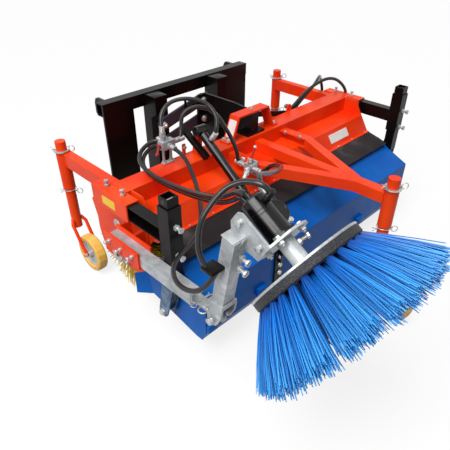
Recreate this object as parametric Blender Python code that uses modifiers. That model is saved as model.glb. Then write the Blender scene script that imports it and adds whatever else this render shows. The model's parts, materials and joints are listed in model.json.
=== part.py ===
"""Attachment sweeping machine: hood, brush, casters, tipping bin, side brush and hitch frame.

Metres, +Z up. X runs across the machine, +Y towards the carrier, -Y forward.
The shape is laid out from the ground at z = 0 and the brush centre plane at x = 0.
The last step moves the whole machine so that its box stands centred on the origin.
"""
import math

import bmesh
import bpy
from mathutils import Matrix, Vector

for old in list(bpy.data.objects):
    bpy.data.objects.remove(old, do_unlink=True)

# Shared clearances and plate sizes
GAP = 0.0003
PIN_PLAY = 0.0004
PORT_GAP = 0.0005
OVERLAP = 0.004
SHEET = 0.003
PLATE = 0.006
THICK_PLATE = 0.008

# Widths from the brush outwards
BRUSH_HALF = 0.745
BRUSH_END_GAP = 0.015
BIN_OVERHANG = 0.015
BIN_SIDE = 0.004
SLEEVE_CLEARANCE = 0.007
END_PLATE_IN = BRUSH_HALF + BRUSH_END_GAP
BIN_HALF = END_PLATE_IN + BIN_OVERHANG
SLEEVE_IN = BIN_HALF + BIN_SIDE + SLEEVE_CLEARANCE

# Cross beam
BEAM_Y0 = 0.010
BEAM_DEPTH = 0.100
BEAM_Z0 = 0.565
BEAM_HEIGHT = 0.075
BEAM_WALL = 0.005
BEAM_Y1 = BEAM_Y0 + BEAM_DEPTH
BEAM_Z1 = BEAM_Z0 + BEAM_HEIGHT
DRAIN_RADIUS = 0.008
DRAIN_INSET = 0.060

# Hood
HOOD_TOP = BEAM_Z0 - GAP
FRONT_PANEL_Y = -0.113
FLANGE_Y = -0.163
FLANGE_END_Y = -0.182
FLANGE_Z = 0.488
REAR_BEND_Y = 0.262
REAR_BEND_Z = 0.535
REAR_END_Y = 0.345
REAR_END_Z = 0.462
FLAP_THICK = 0.005
FLAP_INSET = 0.003

# Main brush
BRUSH_Y = 0.140
BRUSH_Z = 0.270
BRUSH_RADIUS = 0.245
CORE_RADIUS = 0.100
CORE_WALL = 0.003
CORE_INSET = 0.008
BACKING = 0.010
CORE_SIDES = 20
SPOKE_RING = 0.060
SPOKE_HOLE = 0.020
SHAFT_RADIUS = 0.020
SHAFT_LEFT = 0.040
SHAFT_RIGHT = 0.014
MAIN_RINGS = 11
MAIN_AROUND = 14
MAIN_STRAND = 0.0030
BEARING_HALF = 0.060
BEARING_CORNER = 0.030
BEARING_BOSS = 0.040
BEARING_DEPTH = 0.034
BEARING_FLANGE = 0.012
MOTOR_FLANGE = 0.014
MAIN_MOTOR_RADIUS = 0.046
MAIN_MOTOR_LENGTH = 0.110
PORT_BLOCK_HALF = 0.024
PORT_BLOCK_TOP = 0.062

# Sleeves, bin beams and posts
SLEEVE_WIDTH = 0.060
SLEEVE_HEIGHT = 0.080
SLEEVE_Z0 = BEAM_Z0 - 0.007
SLEEVE_Y0 = -0.069
SLEEVE_Y1 = BEAM_Y1 + 0.067
SLEEVE_WALL = 0.006
CHANNEL_PLAY = 0.001
CHANNEL_WALL = 0.006
CHANNEL_Y1 = SLEEVE_Y1 - 0.007
POST_Y = -0.295
POST_INSET = 0.004
OUTER_POST = 0.060
OUTER_POST_WALL = 0.0046
OUTER_POST_Z0 = SLEEVE_Z0 - 0.039
OUTER_POST_Z1 = SLEEVE_Z0 + 0.169
INNER_POST_WALL = 0.004
INNER_POST_Z0 = 0.400
INNER_POST_Z1 = 0.765
POST_X = SLEEVE_IN + SLEEVE_WIDTH / 2 - POST_INSET
INNER_POST = OUTER_POST - 2 * OUTER_POST_WALL - 2 * PIN_PLAY
PRONG_RADIUS = 0.026
PRONG_SEAT = 0.0005

# Bin
BIN_PIVOT_Y = -0.233
BIN_PIVOT_Z = 0.189
BIN_PIN_RADIUS = 0.010
BIN_BOSS = 0.020
BIN_LID_Y = -0.250
BIN_LID_Z = 0.450
BIN_FOLD_Y = -0.312
BIN_FOLD_Z = 0.412
BIN_FRONT_Y = -0.430
BIN_FRONT_TOP = 0.358
BIN_FRONT_LOW = 0.160
BIN_FLOOR_Z = 0.108
BIN_FLOOR_Y = -0.370
BIN_FLOOR_SLOPE = 0.1857
BIN_FLOOR_END = -0.120
BIN_SIDE_END = -0.090
BIN_CHAMFER = 0.025
BIN_WING = 0.030
WING_LOW = 0.125
WING_HIGH = 0.240
STRAP_WIDTH = 0.050
STRAP_TOP = 0.352
STRAP_LOW = 0.180

# Dump cylinder
CYL_X = -0.345
CYL_REAR_Y = 0.055
CYL_REAR_Z = BEAM_Z1 + 0.115
CYL_EYE_Y = -0.445
CYL_EYE_Z = 0.383
CYL_RADIUS = 0.020
CYL_WALL = 0.0035
CYL_BORE = CYL_RADIUS - CYL_WALL
CYL_START = 0.025
CYL_END = 0.341
REAR_PORT_AT = CYL_START + 0.045
REAR_PORT_TOP = 0.034
FRONT_PORT_AT = CYL_END - 0.032
FRONT_PORT_TOP = 0.042
PORT_RADIUS = 0.011
ROD_RADIUS = 0.010
EYE_THICK = 0.012
CYL_PIN = 0.008
LUG_RADIUS = 0.022
CLEVIS_RADIUS = 0.012
CLEVIS_THROAT = 0.034
EYE_BOLT = 0.0064
EYE_LUG = 0.010

# Slotted bar beside the cylinder lug
SLOT_FRONT_Y = -0.015
SLOT_FRONT_Z = BEAM_Z1 + 0.012
SLOT_REAR_Y = 0.141
SLOT_REAR_Z = BEAM_Z1 + 0.104
SLOT_BAR_WIDTH = 0.024
SLOT_HALF = 0.004
SLOT_END = 0.020

# Rear arms and caster guides
ARM_INSET = 0.0435
ARM_X0 = SLEEVE_IN - ARM_INSET
ARM_WIDTH = 0.043
ARM_Z0 = BEAM_Z0 + 0.002
ARM_HEIGHT = 0.065
ARM_WALL = 0.004
STEM_RADIUS = 0.025
GUIDE_WALL = 0.005
GUIDE_RADIUS = STEM_RADIUS + GUIDE_WALL
GUIDE_INSET = 0.011
GUIDE_X = SLEEVE_IN - GUIDE_INSET
GUIDE_Y = 0.545
GUIDE_Z0 = 0.440
GUIDE_Z1 = ARM_Z0 + ARM_HEIGHT + 0.004
FRONT_GUIDE_Y = -0.717
FRONT_GUIDE_Z0 = 0.455
FRONT_GUIDE_Z1 = 0.635
STEM_TOP_ABOVE = 0.048
STEM_LOW = 0.214
WHEEL_RADIUS = 0.100
WHEEL_WIDTH = 0.050
WHEEL_TRAIL = 0.113
AXLE_RADIUS = 0.006
FORK_BAR = 0.009
FORK_PLAY = 0.002
FORK_HALF = WHEEL_WIDTH / 2 + FORK_BAR + FORK_PLAY
RIM_HEIGHT = 0.030
HUB_RADIUS = WHEEL_RADIUS - RIM_HEIGHT
HUB_BOSS = 0.022
RIM_HALF = 0.016
TYRE_ROUND = 0.006
COLLAR_RADIUS = GUIDE_RADIUS + 0.007
COLLAR_THICK = 0.006

# Front frame
FRAME_BAR = 0.050
FRAME_WALL = 0.006
FRAME_Z0 = BEAM_Z0 + 0.0005
FRAME_STEP = 0.0006
FRAME_SPREAD = 0.190
FRAME_MEET_Y = -0.560
FRAME_MEET_HALF = 0.055
FRAME_BEND_Y = -0.150

# Bridge strap, mast and level bar
BRIDGE_Y0 = 0.032
BRIDGE_Y1 = 0.092
BRIDGE_TOP = BEAM_Z1 + 0.110
BRIDGE_FOOT = 0.037
BRIDGE_LEFT = -0.192
BRIDGE_RIGHT = 0.170
BRIDGE_LEG = 0.043
MAST_X = 0.020
MAST_PLATE = 0.012
COLUMN_HALF = 0.025
FOOT_HALF = 0.060
LEVEL_LUG_X = 0.361
LEVEL_LUG_HALF = 0.017
LEVEL_BAR_Z = BEAM_Z1 + 0.010
LEVEL_BAR_THICK = 0.012
LEVEL_BAR_HALF = 0.014
LEVEL_LEFT_X = MAST_X + 0.016
LEVEL_LEFT_Z = LEVEL_BAR_Z + 0.056
LEVEL_RIGHT_X = 0.535
LEVEL_RIGHT_Z = LEVEL_BAR_Z - 0.072
LEVEL_TAPER = 0.050
LEVEL_LUG_Y = BEAM_Y1 + GAP
LEVEL_Y = LEVEL_LUG_Y + PLATE + GAP

# Link bars
LINK_Y0 = 0.4323
LINK_THICK = 0.012
LINK_HEIGHT = 0.065
LINK_RIGHT_X = 0.011
LINK_SPAN = 0.2755
LINK_DROP = math.radians(14.0)
LINK_UPPER_Z = BEAM_Z1 + 0.070
LINK_APART = 0.103
LINK_LOWER_Z = LINK_UPPER_Z - LINK_APART
LINK_PIN = 0.0125
OPEN_PIVOT_PLAY = 0.0015

# Hitch frame
HITCH_BRACKET = 0.0454
INNER_POST_DEPTH = 0.087
INNER_POST_FRONT = LINK_Y0 + LINK_THICK + GAP + HITCH_BRACKET
HITCH_Y = INNER_POST_FRONT + INNER_POST_DEPTH
HITCH_HALF = 0.511
HITCH_TOP = 0.775
HITCH_LOW = 0.235
HITCH_BAR = 0.066
HITCH_BAR_DEPTH = 0.060
LOW_BAR = 0.060
LOW_BAR_DEPTH = 0.041
HITCH_PLATE = 0.012
HITCH_WALL = 0.006
INNER_WALL = 0.008
OUTER_PLATE_IN = 0.334
INNER_POST_IN = 0.181
INNER_POST_OUT = 0.259
HOOK_INSET = 0.050
HOOK_HALF = 0.010
EYE_RADIUS = 0.0165

# Side brush arm, fork and post
SIDE_ARM = 0.050
SIDE_ARM_GAP = 0.003
SIDE_ARM_X = -(POST_X + INNER_POST / 2 + SIDE_ARM / 2 + SIDE_ARM_GAP)
SIDE_ARM_Z0 = 0.430
SIDE_ARM_WALL = 0.004
SIDE_ARM_REAR = 0.030
SIDE_ARM_FRONT = -0.480
BRACKET_Y0 = -0.190
BRACKET_Y1 = 0.040
BRACKET_RISE = 0.018
FIN_FRONT = -0.074
FOLD_Y = -0.600
FOLD_Z = 0.457
FOLD_PIN = 0.010
EAR_RADIUS = 0.028
EAR_THICK = 0.012
FORK_INNER = 0.054
FORK_CHEEK = 0.024
POST_LEAN = math.radians(10.2)
POST_LOW_Y = -0.613
POST_LOW_Z = 0.524
POST_LENGTH = 0.283
TILT_UP = 0.250

# Side brush head, measured along the slanted axis from the motor's end
HEAD_OFFSET = 0.110
HEAD_X = SIDE_ARM_X + HEAD_OFFSET
DISC_Y = -0.842
DISC_Z = 0.738
AXIS_TILT = math.radians(30.7)
MOTOR_BACK = 0.248
MOTOR_RADIUS = 0.0425
PLATE_AT = 0.143
ROUND_PLATE = 0.085
HEAD_LIFT = 0.028
DRUM_AT = 0.070
DRUM_RADIUS = 0.038
DRUM_ACROSS = 0.033
DRUM_HALF = 0.024
FEED_AT = 0.015
FEED_LIFT = 0.010
FEED_ACROSS = 0.055
TOP_PORT_AT = 0.030
TOP_PORT_RISE = 0.016
HUB_TUBE = 0.028
HUB_PLAY = 0.0008
MOTOR_SHAFT = 0.012
SHAFT_HOLE = 0.0155
DISC_RADIUS = 0.185
DISC_PLATE = 0.004
DISC_THICK = 0.028
TUFTS = 19
TUFT_STRANDS = 8
TUFT_RING = 0.150
TUFT_ROOT = 0.013
TUFT_FAN = 0.055
TUFT_RAGGED = 0.035
RING_DEPTH = 0.008
RING_HALF = 0.022
TIP_RING = 0.345
TIP_DROP = 0.194
SIDE_STRAND = 0.0024

# Valves and levers
VALVE_L_X = -0.504
VALVE_L_Y = 0.098
VALVE_PORT_Z = BEAM_Z1 + 0.087
VALVE_BODY_Z0 = BEAM_Z1 + 0.068
VALVE_BODY_Z1 = BEAM_Z1 + 0.106
VALVE_NECK_Z1 = BEAM_Z1 + 0.132
VALVE_HALF_LONG = 0.034
VALVE_HALF_SHORT = 0.018
VALVE_SIDE_PORT = 0.056
VALVE_R_Y = FRAME_BEND_Y
VALVE_R_Z = FRAME_Z0 + 0.0425
VALVE_R_HALF = 0.015
VALVE_R_RISE = 0.018
VALVE_R_PORT = 0.046
LEVER_HUB = 0.009
LEVER_BAR = 0.005

# Hoses
HOSE_RADIUS = 0.009


def linear(red, green, blue):
    """Turns screen colour values of 0 to 255 into linear ones."""
    return tuple((value / 255.0) ** 2.2 for value in (red, green, blue)) + (1.0,)


COLOURS = {
    "red_paint": (linear(232, 74, 36), 0.35, 0.0),
    "black_paint": (linear(26, 22, 22), 0.45, 0.0),
    "link_paint": (linear(56, 56, 66), 0.45, 0.0),
    "blue_paint": (linear(20, 88, 170), 0.4, 0.0),
    "zinc": (linear(190, 192, 192), 0.4, 0.8),
    "blue_bristle": (linear(45, 125, 215), 0.5, 0.0),
    "yellow_bristle": (linear(238, 205, 45), 0.55, 0.0),
    "tyre": (linear(235, 190, 90), 0.5, 0.0),
    "rubber": (linear(44, 41, 42), 0.7, 0.0),
    "hose": (linear(30, 28, 28), 0.5, 0.0),
    "motor_black": (linear(24, 24, 26), 0.3, 0.0),
    "lever_red": (linear(190, 60, 50), 0.4, 0.0),
}

parts = bpy.data.collections.new("sweeping_machine")
cutters = bpy.data.collections.new("cutters")
bpy.context.scene.collection.children.link(parts)
bpy.context.scene.collection.children.link(cutters)
materials = {}
for label, (colour, roughness, metallic) in COLOURS.items():
    paint = bpy.data.materials.new(label)
    paint.use_nodes = True
    shader = paint.node_tree.nodes["Principled BSDF"]
    shader.inputs["Base Color"].default_value = colour
    shader.inputs["Roughness"].default_value = roughness
    shader.inputs["Metallic"].default_value = metallic
    materials[label] = paint


def joint_empty(name, place, parent=None):
    """An empty on a joint's axis that carries the pieces that move with it."""
    empty = bpy.data.objects.new(name, None)
    empty.empty_display_size = 0.05
    parts.objects.link(empty)
    empty.location = place
    bpy.context.view_layer.update()
    if parent:
        empty.parent = parent
        empty.matrix_parent_inverse = parent.matrix_world.inverted()
    return empty


root = joint_empty("machine", (0.0, 0.0, 0.0))


def mesh_object(mesh, name="shape"):
    shape = bpy.data.objects.new(name, mesh)
    parts.objects.link(shape)
    return shape


def box(low, high):
    """A block between two corners."""
    low, high = Vector(low), Vector(high)
    bm = bmesh.new()
    size = high - low
    matrix = Matrix.Translation((low + high) / 2) @ Matrix.Diagonal((*size, 1.0))
    bmesh.ops.create_cube(bm, size=1.0, matrix=matrix)
    mesh = bpy.data.meshes.new("box")
    bm.to_mesh(mesh)
    bm.free()
    return mesh_object(mesh)


def rod(start, end, radius, sides=16, end_radius=None):
    """A round bar or cone between two points."""
    start, end = Vector(start), Vector(end)
    axis = end - start
    turn = axis.to_track_quat("Z", "Y").to_matrix().to_4x4()
    matrix = Matrix.Translation((start + end) / 2) @ turn
    bm = bmesh.new()
    bmesh.ops.create_cone(
        bm, cap_ends=True, cap_tris=False, segments=sides, radius1=radius,
        radius2=radius if end_radius is None else end_radius, depth=axis.length, matrix=matrix)
    mesh = bpy.data.meshes.new("rod")
    bm.to_mesh(mesh)
    bm.free()
    return mesh_object(mesh)


AXES = {
    "YZ": Matrix(((0, 0, 1, 0), (1, 0, 0, 0), (0, 1, 0, 0), (0, 0, 0, 1))),
    "XZ": Matrix(((1, 0, 0, 0), (0, 0, -1, 0), (0, 1, 0, 0), (0, 0, 0, 1))),
    "XY": Matrix.Identity(4),
}
NORMALS = {"YZ": Vector((1, 0, 0)), "XZ": Vector((0, 1, 0)), "XY": Vector((0, 0, 1))}


def curve_to_mesh(shape):
    """Replaces a curve by a mesh with its caps welded."""
    bpy.context.view_layer.update()
    ready = shape.evaluated_get(bpy.context.evaluated_depsgraph_get())
    mesh = bpy.data.meshes.new_from_object(ready)
    bm = bmesh.new()
    bm.from_mesh(mesh)
    bmesh.ops.remove_doubles(bm, verts=bm.verts, dist=0.00001)
    bmesh.ops.recalc_face_normals(bm, faces=bm.faces)
    bm.to_mesh(mesh)
    bm.free()
    solid = mesh_object(mesh)
    solid.matrix_world = shape.matrix_world
    bpy.data.objects.remove(shape, do_unlink=True)
    return solid


def plate(loops, plane, start, end):
    """A flat outline with holes, as thick as from start to end along its normal."""
    curve = bpy.data.curves.new("outline", "CURVE")
    curve.dimensions = "2D"
    curve.fill_mode = "BOTH"
    curve.extrude = abs(end - start) / 2
    for loop in loops:
        spline = curve.splines.new("POLY")
        spline.points.add(len(loop) - 1)
        for point, (across, up) in zip(spline.points, loop):
            point.co = (across, up, 0.0, 1.0)
        spline.use_cyclic_u = True
    shape = bpy.data.objects.new("outline", curve)
    parts.objects.link(shape)
    shape.matrix_world = Matrix.Translation(NORMALS[plane] * (start + end) / 2) @ AXES[plane]
    return curve_to_mesh(shape)


def circle(centre_a, centre_b, radius, sides=16, start=0.0, turn=360.0):
    """Points round a circle, or along an arc with both ends."""
    count = sides if turn == 360.0 else sides + 1
    points = []
    for index in range(count):
        angle = math.radians(start + turn * index / sides)
        points.append((centre_a + radius * math.cos(angle), centre_b + radius * math.sin(angle)))
    return points


def rectangle(a0, b0, a1, b1):
    return [(a0, b0), (a1, b0), (a1, b1), (a0, b1)]


def tube_section(a0, b0, a1, b1, wall):
    return [rectangle(a0, b0, a1, b1), rectangle(a0 + wall, b0 + wall, a1 - wall, b1 - wall)]


def bent_sheet(path, plane, start, end, thickness, side=-1.0):
    """A sheet bent along a path, as an open surface given its thickness on one side."""
    bm = bmesh.new()
    matrix = AXES[plane]
    normal = NORMALS[plane]
    row = [bm.verts.new(matrix @ Vector((a, b, 0.0)) + normal * start) for a, b in path]
    edges = [bm.edges.new((first, second)) for first, second in zip(row, row[1:])]
    made = bmesh.ops.extrude_edge_only(bm, edges=edges)
    moved = [item for item in made["geom"] if isinstance(item, bmesh.types.BMVert)]
    bmesh.ops.translate(bm, verts=moved, vec=normal * (end - start))
    mesh = bpy.data.meshes.new("sheet")
    bm.to_mesh(mesh)
    bm.free()
    sheet = mesh_object(mesh)
    solid = sheet.modifiers.new("thickness", "SOLIDIFY")
    solid.thickness = thickness
    solid.offset = side
    solid.use_even_offset = True
    return sheet


def turned(profile, start, direction, sides=24):
    """A turned piece: (radius, distance) points swept round an axis by a Screw modifier."""
    mesh = bpy.data.meshes.new("profile")
    closed = profile[0][0] > 0.0 or profile[-1][0] > 0.0
    count = len(profile)
    edges = [(index, index + 1) for index in range(count - 1)]
    if closed:
        edges.append((count - 1, 0))
    mesh.from_pydata([(radius, 0.0, height) for radius, height in profile], edges, [])
    shape = mesh_object(mesh)
    screw = shape.modifiers.new("turn", "SCREW")
    screw.steps = sides
    screw.render_steps = sides
    screw.use_merge_vertices = True
    screw.merge_threshold = 0.00001
    turn = Vector(direction).to_track_quat("Z", "Y").to_matrix().to_4x4()
    shape.matrix_world = Matrix.Translation(start) @ turn
    return shape


def bar_curve(points, radius, resolution=2, smooth=0):
    """A bent round bar or a hose along points."""
    curve = bpy.data.curves.new("bar", "CURVE")
    curve.dimensions = "3D"
    curve.bevel_depth = radius
    curve.bevel_resolution = resolution
    curve.use_fill_caps = True
    line = [Vector(point) for point in points]
    if smooth:
        lead_in = (line[1] - line[0]).normalized() * radius
        lead_out = (line[-2] - line[-1]).normalized() * radius
        middle = [line[0] + lead_in] + line[1:-1] + [line[-1] + lead_out]
        line = [line[0]] + smooth_line(middle, smooth) + [line[-1]]
    spline = curve.splines.new("POLY")
    spline.points.add(len(line) - 1)
    for point, place in zip(spline.points, line):
        point.co = (*place, 1.0)
    shape = bpy.data.objects.new("bar", curve)
    parts.objects.link(shape)
    return curve_to_mesh(shape)


def smooth_line(points, count):
    """Evenly spaced points on a smooth curve through the route's own points."""
    route = [Vector(point) for point in points]
    padded = [2 * route[0] - route[1]] + route + [2 * route[-1] - route[-2]]
    fine = []
    for index in range(1, len(padded) - 2):
        a, b, c, d = padded[index - 1:index + 3]
        for step in range(12):
            t = step / 12
            fine.append(0.5 * ((2 * b) + (c - a) * t + (2 * a - 5 * b + 4 * c - d) * t * t
                               + (3 * b - a - 3 * c + d) * t ** 3))
    fine.append(route[-1])
    lengths = [0.0]
    for first, second in zip(fine, fine[1:]):
        lengths.append(lengths[-1] + (second - first).length)
    line = []
    place = 0
    for index in range(count):
        target = lengths[-1] * index / (count - 1)
        while place < len(fine) - 2 and lengths[place + 1] < target:
            place += 1
        share = (target - lengths[place]) / (lengths[place + 1] - lengths[place])
        line.append(fine[place].lerp(fine[place + 1], min(share, 1.0)))
    return line


def combine(base, tools, operation):
    for tool in tools:
        parts.objects.unlink(tool)
        cutters.objects.link(tool)
        tool.hide_render = True
        tool.display_type = "WIRE"
        step = base.modifiers.new(operation.lower(), "BOOLEAN")
        step.operation = operation
        step.object = tool
        step.solver = "EXACT"
        base["tools"] = list(base.get("tools", [])) + [tool.name]
    return base


def join(base, *tools):
    return combine(base, tools, "UNION")


def cut(base, *tools):
    return combine(base, tools, "DIFFERENCE")


def follow(shape, carrier):
    """Hangs a piece, and the shapes that cut or join it, on its carrier."""
    shape.parent = carrier
    shape.matrix_parent_inverse = carrier.matrix_world.inverted()
    for name in shape.get("tools", []):
        follow(bpy.data.objects[name], carrier)


def finish(shape, name, paint, carrier=None, smooth=False):
    """Names a piece, gives it its material and hangs it on its joint."""
    shape.name = name
    shape.data.name = name
    shape.data.materials.clear()
    shape.data.materials.append(materials[paint])
    if smooth:
        shape.data.shade_smooth()
        shape.data.set_sharp_from_angle(angle=math.radians(35))
    bpy.context.view_layer.update()
    follow(shape, carrier or root)
    return shape


# Hood sheet: front flange, steep front panel, flat top under the beam, sloping rear
hood_path = [
    (FLANGE_END_Y, FLANGE_Z - 0.001), (FLANGE_Y, FLANGE_Z), (FRONT_PANEL_Y, HOOD_TOP),
    (BEAM_Y1 + 0.010, HOOD_TOP), (REAR_BEND_Y, REAR_BEND_Z), (REAR_END_Y, REAR_END_Z),
]
hood_edge = END_PLATE_IN - GAP
finish(bent_sheet(hood_path, "YZ", -hood_edge, hood_edge, SHEET), "hood_sheet", "red_paint")

# Cross beam with the sleeves for the bin beams, the cylinder lugs and the level bar's lug
beam_end = SLEEVE_IN + 0.003
beam = plate(tube_section(BEAM_Y0, BEAM_Z0, BEAM_Y1, BEAM_Z1, BEAM_WALL), "YZ", -beam_end, beam_end)
sleeve_z1 = SLEEVE_Z0 + SLEEVE_HEIGHT
sleeve_out = SLEEVE_IN + SLEEVE_WIDTH
for side in (-1.0, 1.0):
    section = tube_section(SLEEVE_IN, SLEEVE_Z0, sleeve_out, sleeve_z1, SLEEVE_WALL)
    section = [[(side * a, b) for a, b in loop] for loop in section]
    join(beam, plate(section, "XZ", SLEEVE_Y0, SLEEVE_Y1))
lug_inner = EYE_THICK / 2 + GAP
lug_outline = [(CYL_REAR_Y + 2 * LUG_RADIUS, BEAM_Z1 - 0.002)]
lug_outline += circle(CYL_REAR_Y, CYL_REAR_Z, LUG_RADIUS, 10, 0.0, 280.0)
lug_outline += [(CYL_REAR_Y + 0.007, BEAM_Z1 - 0.002)]
for side in (-1.0, 1.0):
    inner = CYL_X + side * lug_inner
    outer = CYL_X + side * (lug_inner + THICK_PLATE)
    join(beam, plate([lug_outline], "YZ", min(inner, outer), max(inner, outer)))
pin_reach = lug_inner + THICK_PLATE + 0.006
join(beam, rod((CYL_X - pin_reach, CYL_REAR_Y, CYL_REAR_Z), (CYL_X + pin_reach, CYL_REAR_Y, CYL_REAR_Z),
               CYL_PIN, 16))
for side in (-1.0, 1.0):
    hole_x = side * (SLEEVE_IN - DRAIN_INSET)
    hole_z = BEAM_Z0 + BEAM_HEIGHT / 2
    cut(beam, rod((hole_x, BEAM_Y1 - 0.020, hole_z), (hole_x, BEAM_Y1 + 0.020, hole_z), DRAIN_RADIUS, 12))
level_lug = circle(LEVEL_LUG_X, LEVEL_BAR_Z + 0.010, LEVEL_LUG_HALF, 8, 0.0, 180.0)
level_lug += [(LEVEL_LUG_X - LEVEL_LUG_HALF, BEAM_Z1 - 0.020), (LEVEL_LUG_X + LEVEL_LUG_HALF, BEAM_Z1 - 0.020)]
join(beam, plate([level_lug], "XZ", LEVEL_LUG_Y - 0.002, LEVEL_LUG_Y + PLATE))
finish(beam, "hood_beam", "red_paint")

# End plates with the notch for the beam and the hole for the brush shaft
end_outline = [
    (FLANGE_Y, 0.485), (-0.147, 0.458), (-0.106, 0.448), (-0.048, 0.361), (-0.020, 0.210),
    (0.020, 0.192), (0.270, 0.184), (0.296, 0.190), (0.326, 0.307), (0.325, 0.371),
    (REAR_END_Y + 0.006, REAR_END_Z - 0.004), (REAR_BEND_Y + 0.003, REAR_BEND_Z + 0.003),
    (BEAM_Y1 + 0.012, HOOD_TOP), (BEAM_Y0 - GAP, HOOD_TOP), (BEAM_Y0 - GAP, BEAM_Z1),
    (FRONT_PANEL_Y + 0.047, BEAM_Z1), (FRONT_PANEL_Y, HOOD_TOP - 0.003),
]
shaft_hole = circle(BRUSH_Y, BRUSH_Z, SHAFT_RADIUS + 0.004, 16)
for side, name in ((-1.0, "end_plate_left"), (1.0, "end_plate_right")):
    inner, outer = side * END_PLATE_IN, side * (END_PLATE_IN + PLATE)
    finish(plate([end_outline, shaft_hole], "YZ", min(inner, outer), max(inner, outer)), name, "red_paint")

# Rear arms with the caster guides
guide_bore = STEM_RADIUS + PIN_PLAY * 1.5
for side, name in ((-1.0, "rear_arm_left"), (1.0, "rear_arm_right")):
    section = tube_section(ARM_X0, ARM_Z0, ARM_X0 + ARM_WIDTH, ARM_Z0 + ARM_HEIGHT, ARM_WALL)
    section = [[(side * a, b) for a, b in loop] for loop in section]
    arm = plate(section, "XZ", BEAM_Y1 + GAP, GUIDE_Y - GUIDE_RADIUS / 2)
    centre = (side * GUIDE_X, GUIDE_Y)
    join(arm, rod((*centre, GUIDE_Z0), (*centre, GUIDE_Z1), GUIDE_RADIUS, 24))
    cut(arm, rod((*centre, GUIDE_Z0 - 0.01), (*centre, GUIDE_Z1 + 0.01), guide_bore, 24))
    finish(arm, name, "red_paint", smooth=True)

# Bin beams: open channels in the sleeves, each with its outer post
channel_in = SLEEVE_IN + SLEEVE_WALL + CHANNEL_PLAY / 2
channel_out = SLEEVE_IN + SLEEVE_WIDTH - SLEEVE_WALL - CHANNEL_PLAY / 2
channel_z0 = SLEEVE_Z0 + SLEEVE_WALL + GAP
channel_z1 = SLEEVE_Z0 + SLEEVE_HEIGHT - SLEEVE_WALL - CHANNEL_PLAY
post_half = OUTER_POST / 2
for side, name in ((-1.0, "bin_beam_left"), (1.0, "bin_beam_right")):
    web = channel_in + CHANNEL_WALL
    loop = [
        (channel_out, channel_z0), (channel_out, channel_z0 + CHANNEL_WALL), (web, channel_z0 + CHANNEL_WALL),
        (web, channel_z1 - CHANNEL_WALL), (channel_out, channel_z1 - CHANNEL_WALL), (channel_out, channel_z1),
        (channel_in, channel_z1), (channel_in, channel_z0),
    ]
    loop = [(side * a, b) for a, b in loop]
    channel = plate([loop], "XZ", POST_Y + post_half - 0.002, CHANNEL_Y1)
    tube = tube_section(side * POST_X - post_half, POST_Y - post_half, side * POST_X + post_half,
                        POST_Y + post_half, OUTER_POST_WALL)
    join(channel, plate(tube, "XY", OUTER_POST_Z0, OUTER_POST_Z1))
    finish(channel, name, "black_paint")

# Rubber flap below the flange, with a cut-out for the cylinder
flap_top = FLANGE_Z - SHEET - GAP
flap_path = [(-0.300, 0.452), (-0.250, 0.468), (FLANGE_END_Y - 0.003, flap_top - 0.0012),
             (FLANGE_Y + 0.007, flap_top - 0.0006)]
flap_half = END_PLATE_IN - FLAP_INSET
flap = bent_sheet(flap_path, "YZ", -flap_half, flap_half, FLAP_THICK)
notch_half = STRAP_WIDTH / 2 + 0.0045
cut(flap, box((CYL_X - notch_half, -0.330, 0.42), (CYL_X + notch_half, -0.262, 0.50)))
finish(flap, "flap", "rubber")

# Front frame: middle bar, two diagonal arms with open bolted channels, front caster guide
frame_z1 = FRAME_Z0 + FRAME_BAR
half_bar = FRAME_BAR / 2
frame = box((-half_bar, FRONT_GUIDE_Y + GUIDE_RADIUS - 0.008, FRAME_Z0), (half_bar, BEAM_Y0 - GAP, frame_z1))
frame_low = FRAME_Z0 + FRAME_STEP
frame_high = frame_z1 + FRAME_STEP
for side in (-1.0, 1.0):
    diagonal = [
        (side * (FRAME_SPREAD + half_bar), FRAME_BEND_Y), (side * (FRAME_SPREAD - half_bar), FRAME_BEND_Y),
        (0.0, FRAME_MEET_Y + FRAME_MEET_HALF), (0.0, FRAME_MEET_Y - FRAME_MEET_HALF),
    ]
    join(frame, plate([diagonal], "XY", frame_low, frame_high))
    near, far = FRAME_SPREAD - half_bar, FRAME_SPREAD + half_bar
    section = [
        (near, FRAME_Z0), (far, FRAME_Z0), (far, frame_z1), (near, frame_z1),
        (near, frame_z1 - FRAME_WALL), (far - FRAME_WALL, frame_z1 - FRAME_WALL),
        (far - FRAME_WALL, FRAME_Z0 + FRAME_WALL), (near, FRAME_Z0 + FRAME_WALL),
    ]
    section = [(side * a, b) for a, b in section]
    join(frame, plate([section], "XZ", FRAME_BEND_Y - OVERLAP, BEAM_Y0 - GAP))
guide = rod((0, FRONT_GUIDE_Y, FRONT_GUIDE_Z0), (0, FRONT_GUIDE_Y, FRONT_GUIDE_Z1), GUIDE_RADIUS, 24)
join(frame, guide)
cut(frame, rod((0, FRONT_GUIDE_Y, FRONT_GUIDE_Z0 - 0.01), (0, FRONT_GUIDE_Y, FRONT_GUIDE_Z1 + 0.01),
               guide_bore, 24))
finish(frame, "front_frame", "red_paint", smooth=True)

# Bridge strap over the mast's column
bridge_low = BEAM_Z1 + GAP
left_leg = BRIDGE_LEFT + BRIDGE_FOOT
right_leg = BRIDGE_RIGHT - BRIDGE_FOOT
bridge_path = [
    (BRIDGE_LEFT, bridge_low), (left_leg, bridge_low), (left_leg + BRIDGE_LEG, BRIDGE_TOP),
    (right_leg - BRIDGE_LEG, BRIDGE_TOP), (right_leg, bridge_low), (BRIDGE_RIGHT, bridge_low),
]
bridge = bent_sheet(bridge_path, "XZ", BRIDGE_Y0, BRIDGE_Y1, THICK_PLATE)
finish(bridge, "bridge_strap", "red_paint")

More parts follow.
